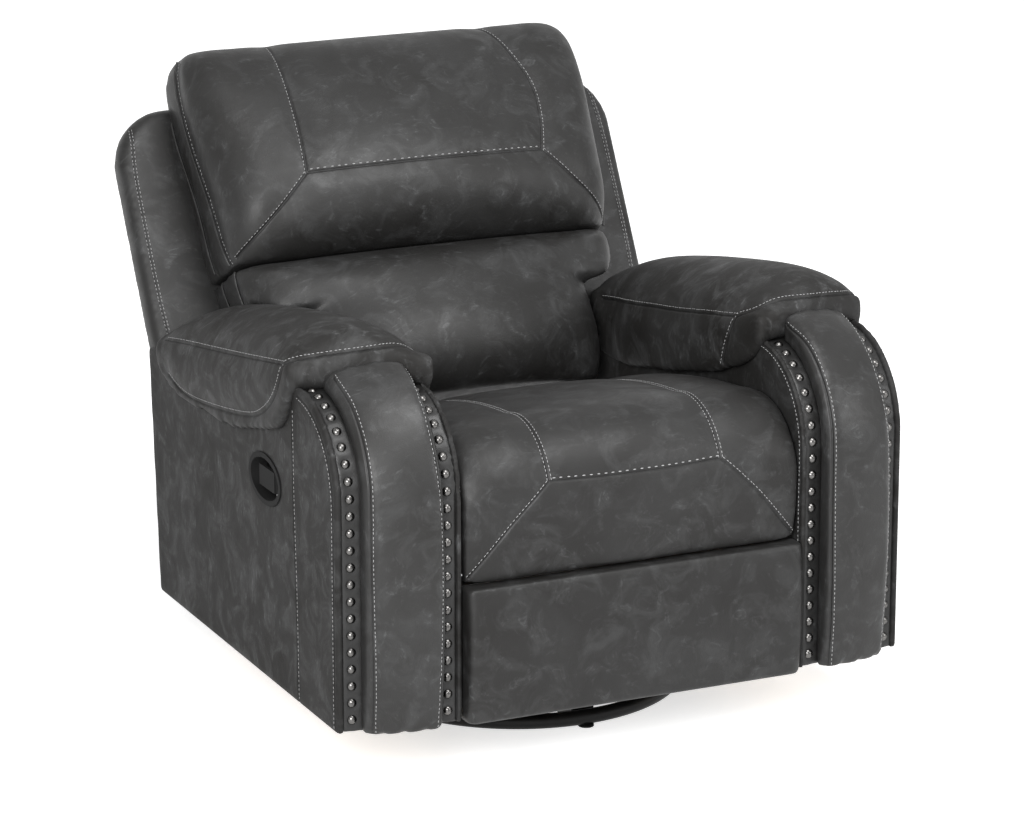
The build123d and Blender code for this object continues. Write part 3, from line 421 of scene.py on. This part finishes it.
# %% [markdown]
# ## Seams
# A seam is where two panels of cover meet and are pulled into the foam. Its chalk line is a few places on the piece.
# The line is smoothed and laid on the surface by looking up the nearest point. The points beside it sink into a valley,
# and a number on each point paints shade into the valley's colour.
# The squares near a line are split first, so that the valley is crisp.

# %% Seam lines and valleys
TACK_REACH = 0.006  # the filling can't lift the cover this near a seam


def flowing(places, step=0.002):
    """A smooth line through a few places, in even steps."""
    ends = [places[0] * 2 - places[1], *places, places[-1] * 2 - places[-2]]
    fine = []
    for a, b, c, d in zip(ends, ends[1:], ends[2:], ends[3:]):
        count = max(2, int((c - b).length / step))
        for i in range(count):
            t = i / count
            bend, twist = 2 * a - 5 * b + 4 * c - d, 3 * b - a - 3 * c + d
            fine.append(0.5 * (2 * b + (c - a) * t + bend * t * t + twist * t**3))
    return [*fine, places[-1]]


def averaged(values, reach):
    """Each value with its neighbours' mean; the ends stay."""
    out = []
    for i in range(len(values)):
        r = min(reach, i, len(values) - 1 - i)
        out.append(sum(values[i - r : i + r + 1], Vector()) / (2 * r + 1))
    return out


def laid(places, skin):
    """A chalk line on a surface: even places and the surface's normals there, without jitter."""
    line = [skin.find_nearest(p)[0] for p in flowing(places)]
    for _ in range(2):
        line = [skin.find_nearest(p)[0] for p in averaged(line, 6)]
    normals = averaged([skin.find_nearest(p)[1] for p in line], 6)
    return [(p, n.normalized()) for p, n in zip(line, normals)]


def skin_of(piece):
    bpy.context.view_layer.update()
    return BVHTree.FromObject(piece, bpy.context.evaluated_depsgraph_get())


def seam_tree(paths):
    marks = [p for path in paths for p, _ in path]
    tree = kdtree.KDTree(len(marks))
    for i, p in enumerate(marks):
        tree.insert(p, i)
    tree.balance()
    return tree


def tacked_near(piece, lines, under):
    """Holds the points near the seams and those that under(point, normal) names."""
    skin = skin_of(piece)
    tree = seam_tree([laid(line, skin) for line in lines])
    return lambda p, n: under(p, n) or tree.find(p)[2] < TACK_REACH


def rounded(piece):
    """One subdivision, so that the even squares no longer show."""
    rounder = piece.modifiers.new("smooth", "SUBSURF")
    rounder.levels = rounder.render_levels = 1
    settle(piece)
    piece.data.shade_smooth()


def sew(piece, lines, depth=0.0022, width=0.0019, pull=0.0, reach=0.018, flat=False):
    """Sinks a valley along each line, with the cover drawn down softly beside it, and returns the lines as laid.

    A flat cover keeps its squares and is split more finely beside its lines instead.
    """
    beside, cuts = (0.0105, 4) if flat else (0.0065, 2)
    if not flat:
        rounded(piece)
    skin = skin_of(piece)
    paths = [laid(line, skin) for line in lines]
    tree = seam_tree(paths)
    b = bmesh.new()
    b.from_mesh(piece.data)
    near = {v for v in b.verts if tree.find(v.co)[2] < beside}
    edges = [e for e in b.edges if e.verts[0] in near and e.verts[1] in near]
    bmesh.ops.subdivide_edges(b, edges=edges, cuts=cuts, use_grid_fill=True)
    bmesh.ops.triangulate(b, faces=[f for f in b.faces if len(f.verts) > 4])
    b.normal_update()
    # The valley layer is painted shade for the cover's colour: full on the seam line, gone one width away.
    layer = b.verts.layers.float.new("valley")
    moves = []
    for v in b.verts:
        away = tree.find(v.co)[2]
        sunk = 1 / (1 + (away / width) ** 4)
        v[layer] = max(0.0, 1 - away / width)
        moves.append(v.normal * (depth * sunk + pull * 2.718 ** -((away / reach) ** 2)))
    for v, move in zip(b.verts, moves):
        v.co -= move
    b.to_mesh(piece.data)
    b.free()
    piece.data.shade_smooth()
    print(piece.name, "sewn along", len(lines), "lines,", len(piece.data.polygons), "faces")
    return paths


# %% [markdown]
# ## Stitches
# Beside each seam runs a row of pale topstitching. Each stitch is a tiny flattened bead of a few dozen faces,
# laid along the line and turned to lie on the surface. Each row is a mesh of its own, because an operator slows down
# as a mesh grows. Later all the rows on one moving body make one piece.

# %% Stitching
stitch_rows = {}
COARSE = {"pitch": 0.0125, "length": 0.0058, "thick": 0.0020}  # the cross seams' heavier stitch


def stitch(skin, body, path, *rows, pitch=0.0072, length=0.0050, thick=0.0013):
    """Rows of stitches beside a laid line, each at its own distance to the line's left."""
    for beside in rows:
        row = bmesh.new()
        run = pitch / 2
        for i in range(1, len(path)):
            run += (path[i][0] - path[i - 1][0]).length
            if run < pitch:
                continue
            run -= pitch
            p, n = path[i]
            along = path[min(i + 4, len(path) - 1)][0] - path[max(i - 4, 0)][0]
            along = (along - n * along.dot(n)).normalized()
            spot, up = skin.ray_cast(p + n.cross(along) * beside + n * 0.012, -n, 0.03)[:2]
            if spot is None:
                continue
            up = (up + n).normalized()
            along = (along - up * along.dot(up)).normalized()
            turn = Matrix((along * length, up.cross(along) * thick, up * thick * 0.8)).transposed().to_4x4()
            turn.translation = spot + up * thick * 0.18
            bmesh.ops.create_uvsphere(row, u_segments=6, v_segments=4, radius=0.5, matrix=turn)
        mesh = bpy.data.meshes.new("row_of_stitches")
        row.to_mesh(mesh)
        row.free()
        stitch_rows.setdefault(body, []).append(mesh)


def piping(name, body, path, material, radius=0.0022):
    """A covered cord sewn into a seam: a round bead along a laid line."""
    cord = bpy.data.curves.new(name, "CURVE")
    cord.dimensions, cord.bevel_depth, cord.bevel_resolution = "3D", radius, 2
    cord.use_fill_caps = True
    run = cord.splines.new("POLY")
    spots = path[::2]
    run.points.add(len(spots) - 1)
    for point, (p, n) in zip(run.points, spots):
        point.co = (*(p + n * radius * 0.35), 1.0)
    shape = placed(name, cord)
    mesh = bpy.data.meshes.new_from_object(shape.evaluated_get(bpy.context.evaluated_depsgraph_get()))
    bpy.data.objects.remove(shape)
    piece = placed(name, mesh)
    mesh.shade_smooth()
    mesh.materials.clear()
    mesh.materials.append(material)
    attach(piece, body)


def both(line):
    """The same line on the sitter's left and right."""
    return [line, [Vector((-p.x, p.y, p.z)) for p in line]]


def other_side(path):
    """A laid line, mirrored to the other side of the chair."""
    flip = Vector((-1, 1, 1))
    return [(p * flip, n * flip) for p, n in path]


def upholster(piece, body, material, fill, *nodes):
    """Gives a soft piece its finish and says what it replaces and rides on. Its fill is not used."""
    piece.data.materials.clear()
    piece.data.materials.append(material)
    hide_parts(*nodes)
    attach(piece, body)


def mirrored(piece, name):
    """The other side's piece, with its faces turned back outward."""
    b = bmesh.new()
    b.from_mesh(piece.data)
    bmesh.ops.scale(b, verts=b.verts, vec=(-1, 1, 1))
    bmesh.ops.reverse_faces(b, faces=b.faces)
    mesh = bpy.data.meshes.new(name)
    b.to_mesh(mesh)
    b.free()
    mesh.shade_smooth()
    other = placed(name, mesh)
    return other


print("needle and thread ready")

# %% [markdown]
# ## Seat cushion
# The seat is one waterfall cushion. A wide middle panel and two side panels meet in seams that run over the front edge,
# where a cross seam joins their ends and two diagonals run down to the corners. The underside lies on its boards.

# %% Seat cushion
SWELL = 0.010  # the most that a cushion's filling may lift its cover
seat_side = chalked(
    (150, 590, 440), (150, 420, 505), (150, 264, 544), (150, 77, 564), (150, 26, 535), (150, -9, 485),
)
seat_cross = chalked((-150, -9, 485), (-60, -15, 483), (60, -15, 483), (150, -9, 485))
seat_diagonal = chalked((150, -9, 485), (186, -14, 450), (219, -16, 417), (258, -8, 372), (286, 0, 340))
seat_lines = [*both(seat_side), seat_cross, *both(seat_diagonal)]



def wider_sides(p, n):
    """The seat's sides fill the space up to the arms."""
    return Vector((0.0045 * blend(abs(p.x), 0.2, 0.28) * (1 if p.x > 0 else -1), 0, 0))


def seat_tacked(p, n):
    """The underside, the rear end and the sides beside the arms stay."""
    return n.z < -0.4 or p.y > FRONT + 0.575 or abs(p.x) > 0.284


seat = soft_copy("seat_cushion_cover", "seat_cushion", 0.0080, 3, 0.003)
reshape(seat, wider_sides)
fill_padding(seat, tacked_near(seat, seat_lines, seat_tacked), SWELL)
side_l, side_r, cross, diagonal_l, diagonal_r = sew(seat, seat_lines, pull=0.003, reach=0.022)
skin = skin_of(seat)
stitch(skin, "seat", side_l, 0.0035, -0.0035)
stitch(skin, "seat", side_r, 0.0035, -0.0035)
stitch(skin, "seat", cross, 0.005, **COARSE)
stitch(skin, "seat", diagonal_l, 0.0040)
stitch(skin, "seat", diagonal_r, -0.0040)
upholster(seat, "seat", cover["seat"], 0.75, "seat_cushion")

# %% [markdown]
# ## Footrest pad
# Below the seat hangs a plain padded panel that swings up as the footrest. Its cover is taut and has no seam in front.

# %% Footrest
footrest = soft_copy("footrest_cover", "footrest_pad", 0.0055, 2, -0.0025)
rounded(footrest)
upholster(footrest, "footrest", cover["seat"], 0.8, "footrest_pad")

# %% [markdown]
# ## Lumbar and head cushions
# The back carries two cushions. The lumbar one fills the space between the arms and opens out above them.
# The head one is boxed, with piping, and its front is cut in panels: two upright seams, a cross seam and two diagonals.

# %% Lumbar cushion
lumbar_front_edge = chalked_back((347, 288, 0), (346, 262, 0), (340, 226, 0))
lumbar_rear_edge = chalked_back((347, 288, -66), (346, 262, -62), (340, 226, -58))
lumbar_lines = [*both(lumbar_front_edge), *both(lumbar_rear_edge)]


def over_the_arm(p):
    """The front of the step from the lumbar's narrow part to its wide part."""
    rise, ahead = on_back(p)
    return abs(p.x) > 0.12 and 165 < rise < 262 and ahead > 26


def hang_over_arm(p, n):
    """The wide part's lower edge hangs to the arm pad, but not where the arm's rear corner passes in the recline."""
    rise, ahead = on_back(p)
    drop = min(30.0, max(0.0, 1.3 * (ahead - 34)))
    drop *= blend(abs(p.x), 0.20, 0.27) * blend(rise, 188, 206) * (1 - blend(rise, 218, 264))
    return chalk_back(0, 0, 0) - chalk_back(0, drop, 0)


def lumbar_tacked(p, n):
    """The rear and the underside stay, and so do the lower corners that pass the arms when the back reclines."""
    return n.y > 0.35 or n.z < -0.75 or (abs(p.x) > 0.26 and on_back(p)[0] < 232)


lumbar = soft_copy("lumbar_cover", "lumbar_cushion", 0.0080, 4, 0.003)
reshape(lumbar, hang_over_arm)
ease_part(lumbar, over_the_arm, 25)
fill_padding(lumbar, tacked_near(lumbar, lumbar_lines, lumbar_tacked), SWELL)
lumbar_paths = sew(lumbar, lumbar_lines)
for path, name in zip(lumbar_paths, ("front_left", "front_right", "rear_left", "rear_right")):
    piping(f"lumbar_piping_{name}", "back", path, cover["back"])
upholster(lumbar, "back", cover["back"], 0.75, "lumbar_cushion")

# %% Head cushion
upright_right = chalked_back(
    (-200, 681, -20), (-204, 617, 39), (-208, 554, 67), (-213, 492, 88), (-220, 420, 100),
)
upright_left = chalked_back((200, 681, -20), (226, 617, 39), (244, 554, 67), (240, 492, 88), (220, 420, 100))
head_cross = chalked_back((-220, 420, 102), (-80, 417, 112), (80, 417, 112), (220, 420, 102))
head_diagonal = chalked_back((220, 420, 100), (250, 390, 92), (284, 358, 80), (320, 327, 58), (350, 302, 20))
head_front_edge = chalked_back(
    (340, 668, -50), (357, 630, -46), (358, 584, -41), (358, 471, -31), (358, 374, -14), (356, 293, 0),
)
head_rear_edge = chalked_back((369, 582, -95), (369, 540, -92), (361, 411, -77), (356, 300, -70))
head_lines = [upright_right, upright_left, head_cross]
head_lines += [*both(head_diagonal), *both(head_front_edge), *both(head_rear_edge)]


def wider_crown(p, n):
    """The filling spreads the head's upper ends sideways."""
    wide = 0.011 * blend(on_back(p)[0], 380, 560) * blend(abs(p.x), 0.22, 0.33)
    return Vector((wide if p.x > 0 else -wide, 0, 0))


head = soft_copy("head_cushion_cover", "head_cushion", 0.0080, 3, 0.0)
reshape(head, wider_crown)
fill_padding(head, tacked_near(head, head_lines, lambda p, n: n.y > 0.6 or n.z < -0.85), SWELL)
head_paths = sew(head, head_lines, pull=0.003, reach=0.024)
upright_r, upright_l, cross, diagonal_l, diagonal_r, front_l, front_r, *rear_edges = head_paths
skin = skin_of(head)
stitch(skin, "back", upright_r, -0.0035)
stitch(skin, "back", upright_l, 0.0035)
stitch(skin, "back", cross, 0.005, **COARSE)
stitch(skin, "back", diagonal_l, 0.0038)
stitch(skin, "back", diagonal_r, -0.0038)
stitch(skin, "back", front_l, -0.0055)
stitch(skin, "back", front_r, 0.0055)
for path, name in zip((front_l, front_r, *rear_edges), ("front_left", "front_right", "rear_left", "rear_right")):
    piping(f"head_piping_{name}", "back", path, cover["head"])
upholster(head, "back", cover["head"], 0.75, "head_cushion")

# %% [markdown]
# ## Wings and the outside of the back
# Beside the head cushion the back frame widens into two padded wings with a double row of stitches near their edge.
# Behind them a taut panel closes the back, and thin covers are drawn round the boards that would show at its edges.

# %% Wings and outside back
wing_edge = chalked_back(
    (442, 215, -116), (446, 300, -116), (446, 420, -116), (445, 500, -116), (441, 548, -117), (434, 582, -124),
)
wing_left = soft_copy("wing_cover_left", "wing_left", 0.008, 3, -0.002)
(wing_path,) = sew(wing_left, [wing_edge], depth=0.0012)
wing_right = mirrored(wing_left, "wing_cover_right")
stitch(skin_of(wing_left), "back", wing_path, 0.0026, -0.0026)
stitch(skin_of(wing_right), "back", other_side(wing_path), 0.0026, -0.0026)
upholster(wing_left, "back", cover["back"], 0.6, "wing_left")
upholster(wing_right, "back", cover["back"], 0.6, "wing_right")

outside = soft_copy("outside_back_cover", "outside_back_panel", 0.007, 2, 0.0)
outside_hem = chalked_back(
    (-436, 200, -170), (-436, 510, -170), (-412, 570, -170), (-360, 596, -170), (0, 598, -170),
    (360, 596, -170), (412, 570, -170), (436, 510, -170), (436, 200, -170),
)
(hem,) = sew(outside, [outside_hem], depth=0.001, flat=True)
stitch(skin_of(outside), "back", hem, 0.004)
upholster(outside, "back", cover["back"], 0.3, "outside_back_panel")


def wrapped(name, node, low):
    """A thin cover drawn round a board of the back, open below a height up the back."""
    wrap = soft_copy(name, node, 0.005, 1, -0.0035)
    b = bmesh.new()
    b.from_mesh(wrap.data)
    bmesh.ops.delete(b, geom=[v for v in b.verts if on_back(v.co)[0] < low], context="VERTS")
    b.to_mesh(wrap.data)
    b.free()
    wrap.data.shade_smooth()
    wrap.data.materials.append(cover["back"])
    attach(wrap, "back")


wrapped("back_rail_wrap", "back_rails", 560)
wrapped("back_post_wrap_left", "back_post_left", 150)
wrapped("back_post_wrap_right", "back_post_right", 150)

# %% [markdown]
# ## Arm covers
# Each arm is a box with a padded skin. The outer skin has a stitched seam behind the front edge and a stitched roll
# along it. The inner skin is plainer. Both follow the arm's outline: up the front, round a big curve, along the top.


# %% Arm covers
def arm_front_line(x, inset, low=112.0, last=88.0):
    """The arm's front edge in side view at one distance from its middle, a distance inside the nail strip's face."""
    back, size = ARM_TOE * (abs(x) - ARM_INNER), CURVE_ROUND - inset
    line = [chalk(x, back + inset, z) for z in (low, 200, 300, 400, CURVE_HEIGHT)]
    for turn in (15, 30, 45, 60, 75, last):
        a = radians(turn)
        line.append(chalk(x, back + CURVE_ROUND - size * cos(a), CURVE_HEIGHT + size * sin(a)))
    return line


side_seam = chalked((ARM_SIDE, 200, 590), (ARM_SIDE, 198, 442), (ARM_SIDE, 191, 279), (ARM_SIDE, 188, 108))
for i, (name, sign) in enumerate((("left", 1), ("right", -1))):
    side = soft_copy(f"arm_side_skin_{name}", f"arm_side_cover_{name}", 0.0065, 2, -0.0012)
    seam, roll = sew(side, [both(side_seam)[i], arm_front_line(sign * ARM_SIDE, 6.0)], depth=0.0012, flat=True)
    skin = skin_of(side)
    stitch(skin, "chassis", seam, -0.004 * sign)
    stitch(skin, "chassis", roll, -0.0042 * sign)
    upholster(side, "chassis", cover["arm"], 0.4, f"arm_side_cover_{name}")

    inner = soft_copy(f"arm_inner_skin_{name}", f"arm_inner_cover_{name}", 0.0065, 2, -0.0008)
    (edge,) = sew(inner, [arm_front_line(sign * 299.0, 3.0)], depth=0.0012, flat=True)
    stitch(skin_of(inner), "chassis", edge, 0.0036 * sign)
    upholster(inner, "chassis", cover["arm"], 0.4, f"arm_inner_cover_{name}")

for name, node in (("lower_rear_cover", "lower_rear_panel"), ("arm_rear_skins", "arm_rear_covers")):
    plain = soft_copy(name, node, 0.0035, 1, 0.0)
    plain.data.shade_smooth()
    upholster(plain, "chassis", cover["arm"], 0.3, node)

# %% [markdown]
# ## Raised front panels
# A padded panel stands up each arm front and rolls back under the arm pad. Its face is seamed to its side walls,
# with a topstitch just inside, and is crowned across. One panel is sewn, and its mirror image serves the other arm.


# %% Front panels
def panel_line(x, out):
    """A line up the raised panel's face."""
    back, size = ARM_TOE * (abs(x) - ARM_INNER), CURVE_ROUND - 4 + out
    line = [chalk(x, back - out + sunk, z) for sunk, z in ((8, 112), (1, 200), (0, 300), (2, 400))]
    for turn in (0, 15, 30, 45, 60, 80):
        a = radians(turn)
        line.append(chalk(x, back + CURVE_ROUND - size * cos(a), CURVE_HEIGHT + size * sin(a)))
    return line


def crowned(p, n):
    """The panel's face is fullest along its middle."""
    across = max(0.0, 1 - ((abs(p.x) - 0.397) / 0.062) ** 2)
    return n * 0.007 * across * blend(-n.y + n.z, 0.1, 0.5)


panel_lines = [panel_line(343, 33), panel_line(451, 33)]
panel_left = soft_copy("arm_front_cover_left", "arm_front_panel_left", 0.0055, 2, -0.001)
reshape(panel_left, crowned)
near_edge, far_edge = sew(panel_left, panel_lines, depth=0.0020)
panel_right = mirrored(panel_left, "arm_front_cover_right")
for panel, name, sign in ((panel_left, "left", 1), (panel_right, "right", -1)):
    skin = skin_of(panel)
    for path, turn in ((near_edge, -1), (far_edge, 1)):
        stitch(skin, "chassis", path if sign > 0 else other_side(path), 0.006 * turn * sign)
    upholster(panel, "chassis", cover["panel"], 0.7, f"arm_front_panel_{name}")

# %% [markdown]
# ## Nail strips
# Between the raised panel and the skins lies a narrow dark band. Every nail pulls it down, so it dimples at each head,
# and painted shade darkens a ring round each head.
# The heads themselves are the CAD domes in dark nickel.


# %% Nail strips
def nail_spots(name):
    """The middle of each nail head, from its loose CAD domes."""
    b = bmesh.new()
    b.from_mesh(frame["nodes"][f"nailheads_{name}"].data)
    bmesh.ops.remove_doubles(b, verts=b.verts, dist=1e-5)
    left, spots = set(b.verts), []
    while left:
        island, queue = [], [left.pop()]
        while queue:
            v = queue.pop()
            island.append(v)
            fresh = [e.other_vert(v) for e in v.link_edges if e.other_vert(v) in left]
            left.difference_update(fresh)
            queue += fresh
        spots.append(sum((v.co for v in island), Vector()) / len(island))
    b.free()
    return spots


for name in ("left", "right"):
    strips = soft_copy(f"nail_band_{name}", f"nail_strips_{name}", 0.003, 1, 0.0)
    spots = nail_spots(name)
    tree = seam_tree([[(p, p) for p in spots]])
    b = bmesh.new()
    b.from_mesh(strips.data)
    b.normal_update()
    layer = b.verts.layers.float.new("valley")
    moves = []
    for v in b.verts:
        away = tree.find(v.co)[2]
        # Painted shade: the valley number darkens a ring 7 mm from each nail's middle, where the band dips under the
        # head's rim.
        v[layer] = 0.7 * max(0.0, 1 - abs(away - 0.007) / 0.004)
        moves.append(v.normal * 0.0016 * (1 / (1 + (away / 0.0095) ** 4) - 0.35))
    for v, move in zip(b.verts, moves):
        v.co -= move
    b.to_mesh(strips.data)
    b.free()
    strips.data.shade_smooth()
    upholster(strips, "chassis", cover["trim"], 0.2, f"nail_strips_{name}")
    print(strips.name, len(spots), "nails,", len(strips.data.polygons), "faces")

# %% [markdown]
# ## Arm pads
# A pillow lies on each arm and drapes over both its sides. A seam runs round the pillow's top panel, meets the front
# seam at a corner, and a flap hangs below it with its own stitched edge. The solid's inner flap is too thin for the
# squares, so it is thickened first. The flaps' undersides are held.

# %% Arm pads
pad_outer = chalked(
    (PAD_SIDE, 740, 572), (PAD_SIDE, 634, 590), (PAD_SIDE, 498, 611), (PAD_SIDE, 356, 634), (PAD_SIDE, 205, 660)
)
pad_front = chalked(
    (PAD_SIDE, 205, 660), (457, 179, 673), (397, 162, 679), (340, 158, 680), (302, 168, 674), (276, 202, 655),
)
pad_inner = chalked((284, 724, 558), (272, 569, 588), (268, 383, 620), (276, 202, 655))
pad_inner_drop = chalked((276, 202, 655), (272, 215, 622), (270, 228, 590), (272, 234, 562))
pad_flap = chalked(
    (PAD_SIDE, 205, 660), (PAD_SIDE, 212, 640), (PAD_SIDE, 232, 608), (PAD_SIDE, 257, 583), (PAD_SIDE, 299, 557),
    (PAD_SIDE, 349, 540), (PAD_SIDE, 459, 520), (PAD_SIDE, 590, 504), (PAD_SIDE, 665, 504), (PAD_SIDE, 716, 516),
)
pad_lines = [pad_outer, pad_front, pad_inner, pad_inner_drop, pad_flap]
PAD_SWELL = 0.007
FLAP_FACE = 0.2965  # points of the left pad nearer the middle than this are its inner flap's face
FLAP_FOOT = 0.2975  # where that flap lies against the arm


def fuller_flap(p):
    """The inner flap's face is moved off the arm, over the seat."""
    return Vector((-0.016 if p.x < FLAP_FACE else 0.0, 0, 0))


def flap_taper(p, n):
    """The inner flap thins again at its front nose and toward the back, where the lumbar cushion is."""
    depth = depth_of(p)
    thinner = 0.75 * blend(depth, 560, 690) + 0.65 * (1 - blend(depth, 150, 250))
    return Vector((thinner * max(0.0, FLAP_FOOT - p.x), 0, 0))


def pad_filling(p, n):
    """How far the pillow pushes its cover out: less on the inner side, where the back passes."""
    depth = depth_of(p)
    inside = 1 - blend(abs(p.x), 0.30, 0.33)
    room = 1 - inside * (1 - 0.8 * (1 - blend(depth, 560, 660)))
    return n * 0.009 * (0.15 + 0.85 * room) + Vector((0, 0.018 * blend(depth, 560, 740), 0))


pad_left = soft_copy("arm_pad_cover_left", "arm_pad_left", 0.0065, 4, 0.0, fuller_flap)
reshape(pad_left, flap_taper)
ease_part(pad_left, lambda p: p.y < FRONT + 0.235, 8)
reshape(pad_left, pad_filling)
fill_padding(pad_left, tacked_near(pad_left, pad_lines, lambda p, n: n.z < -0.25), PAD_SWELL)
pad_paths = sew(pad_left, pad_lines, pull=0.006, reach=0.024)
pad_right = mirrored(pad_left, "arm_pad_cover_right")
for pad, name, sign in ((pad_left, "left", 1), (pad_right, "right", -1)):
    skin = skin_of(pad)
    for path, beside in zip(pad_paths, (-0.006, -0.007, 0.006, -0.005, 0.007)):
        stitch(skin, "chassis", path if sign > 0 else other_side(path), beside * sign)
    upholster(pad, "chassis", cover["pad"], 0.8, f"arm_pad_{name}")

# %% [markdown]
# ## Gather the stitches
# The rows made so far are joined into one mesh for each moving body. Each becomes a piece that rides with that body.

# %% Stitch pieces
for body, rows in stitch_rows.items():
    b = bmesh.new()
    for row in rows:
        b.from_mesh(row)
        bpy.data.meshes.remove(row)
    mesh = bpy.data.meshes.new(f"stitching_{body}")
    b.to_mesh(mesh)
    b.free()
    mesh.shade_smooth()
    mesh.materials.append(thread)
    piece = placed(f"stitching_{body}", mesh)
    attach(piece, body)
    print(piece.name, len(mesh.polygons), "faces")

# %% [markdown]
# ## Studio
# The photograph has a plain white ground and broad soft light from above and in front.
# The floor is pale and catches the shadow. The world is white to the camera and to reflections, and dimmer as a light.

# %% Floor, world and lamps
b = bmesh.new()
bmesh.ops.create_grid(b, x_segments=1, y_segments=1, size=30.0)
mesh = bpy.data.meshes.new("studio_floor")
b.to_mesh(mesh)
b.free()
floor = placed("studio_floor", mesh)


def seen_rays(r):
    path = r.add("LightPath")
    seen = r.maths("MAXIMUM", path.outputs["Is Camera Ray"], path.outputs["Is Glossy Ray"])
    return r.maths("MAXIMUM", seen, path.outputs["Is Transmission Ray"])


r = Recipe("studio_ground")
r.finish(Base_Color=grey(0.80), Roughness=0.9, Emission_Color=grey(1.0))
away = r.add("VectorMath", {"operation": "LENGTH"})
r.put(away.inputs[0], r.place())
glow = r.add("MapRange", None, Value=away.outputs["Value"], From_Min=0.7, From_Max=2.2, To_Min=0.66, To_Max=1.0)
r.put(r.shader.inputs["Emission Strength"], r.maths("MULTIPLY", seen_rays(r), glow.outputs[0]))
floor.data.materials.append(r.material)

world = bpy.data.worlds.new("studio")
world.use_nodes = True
bpy.context.scene.world = world
w = Recipe.__new__(Recipe)
w.tree = world.node_tree
ground = w.tree.nodes["Background"]
ground.inputs["Color"].default_value = (1, 1, 1, 1)
lift = w.add("MapRange", None, Value=seen_rays(w), To_Min=0.25, To_Max=1.0)
w.put(ground.inputs["Strength"], lift.outputs[0])


def softbox(name, spot, toward, size, power):
    lamp = bpy.data.lights.new(name, "AREA")
    lamp.shape, lamp.size, lamp.energy = "SQUARE", size, power
    box = placed(name, lamp)
    box.location = spot
    box.rotation_euler = (Vector(toward) - Vector(spot)).to_track_quat("-Z", "Y").to_euler()


softbox("overhead", (0.3, -1.7, 3.4), (0, 0, 0.5), 1.6, 95)
softbox("front_left", (-2.4, -3.35, 2.1), (0, 0, 0.5), 1.5, 190)
softbox("front_right", (2.8, -3.2, 2.0), (0, 0, 0.5), 1.5, 60)
bpy.context.scene.view_settings.view_transform = "Standard"
print("studio ready")
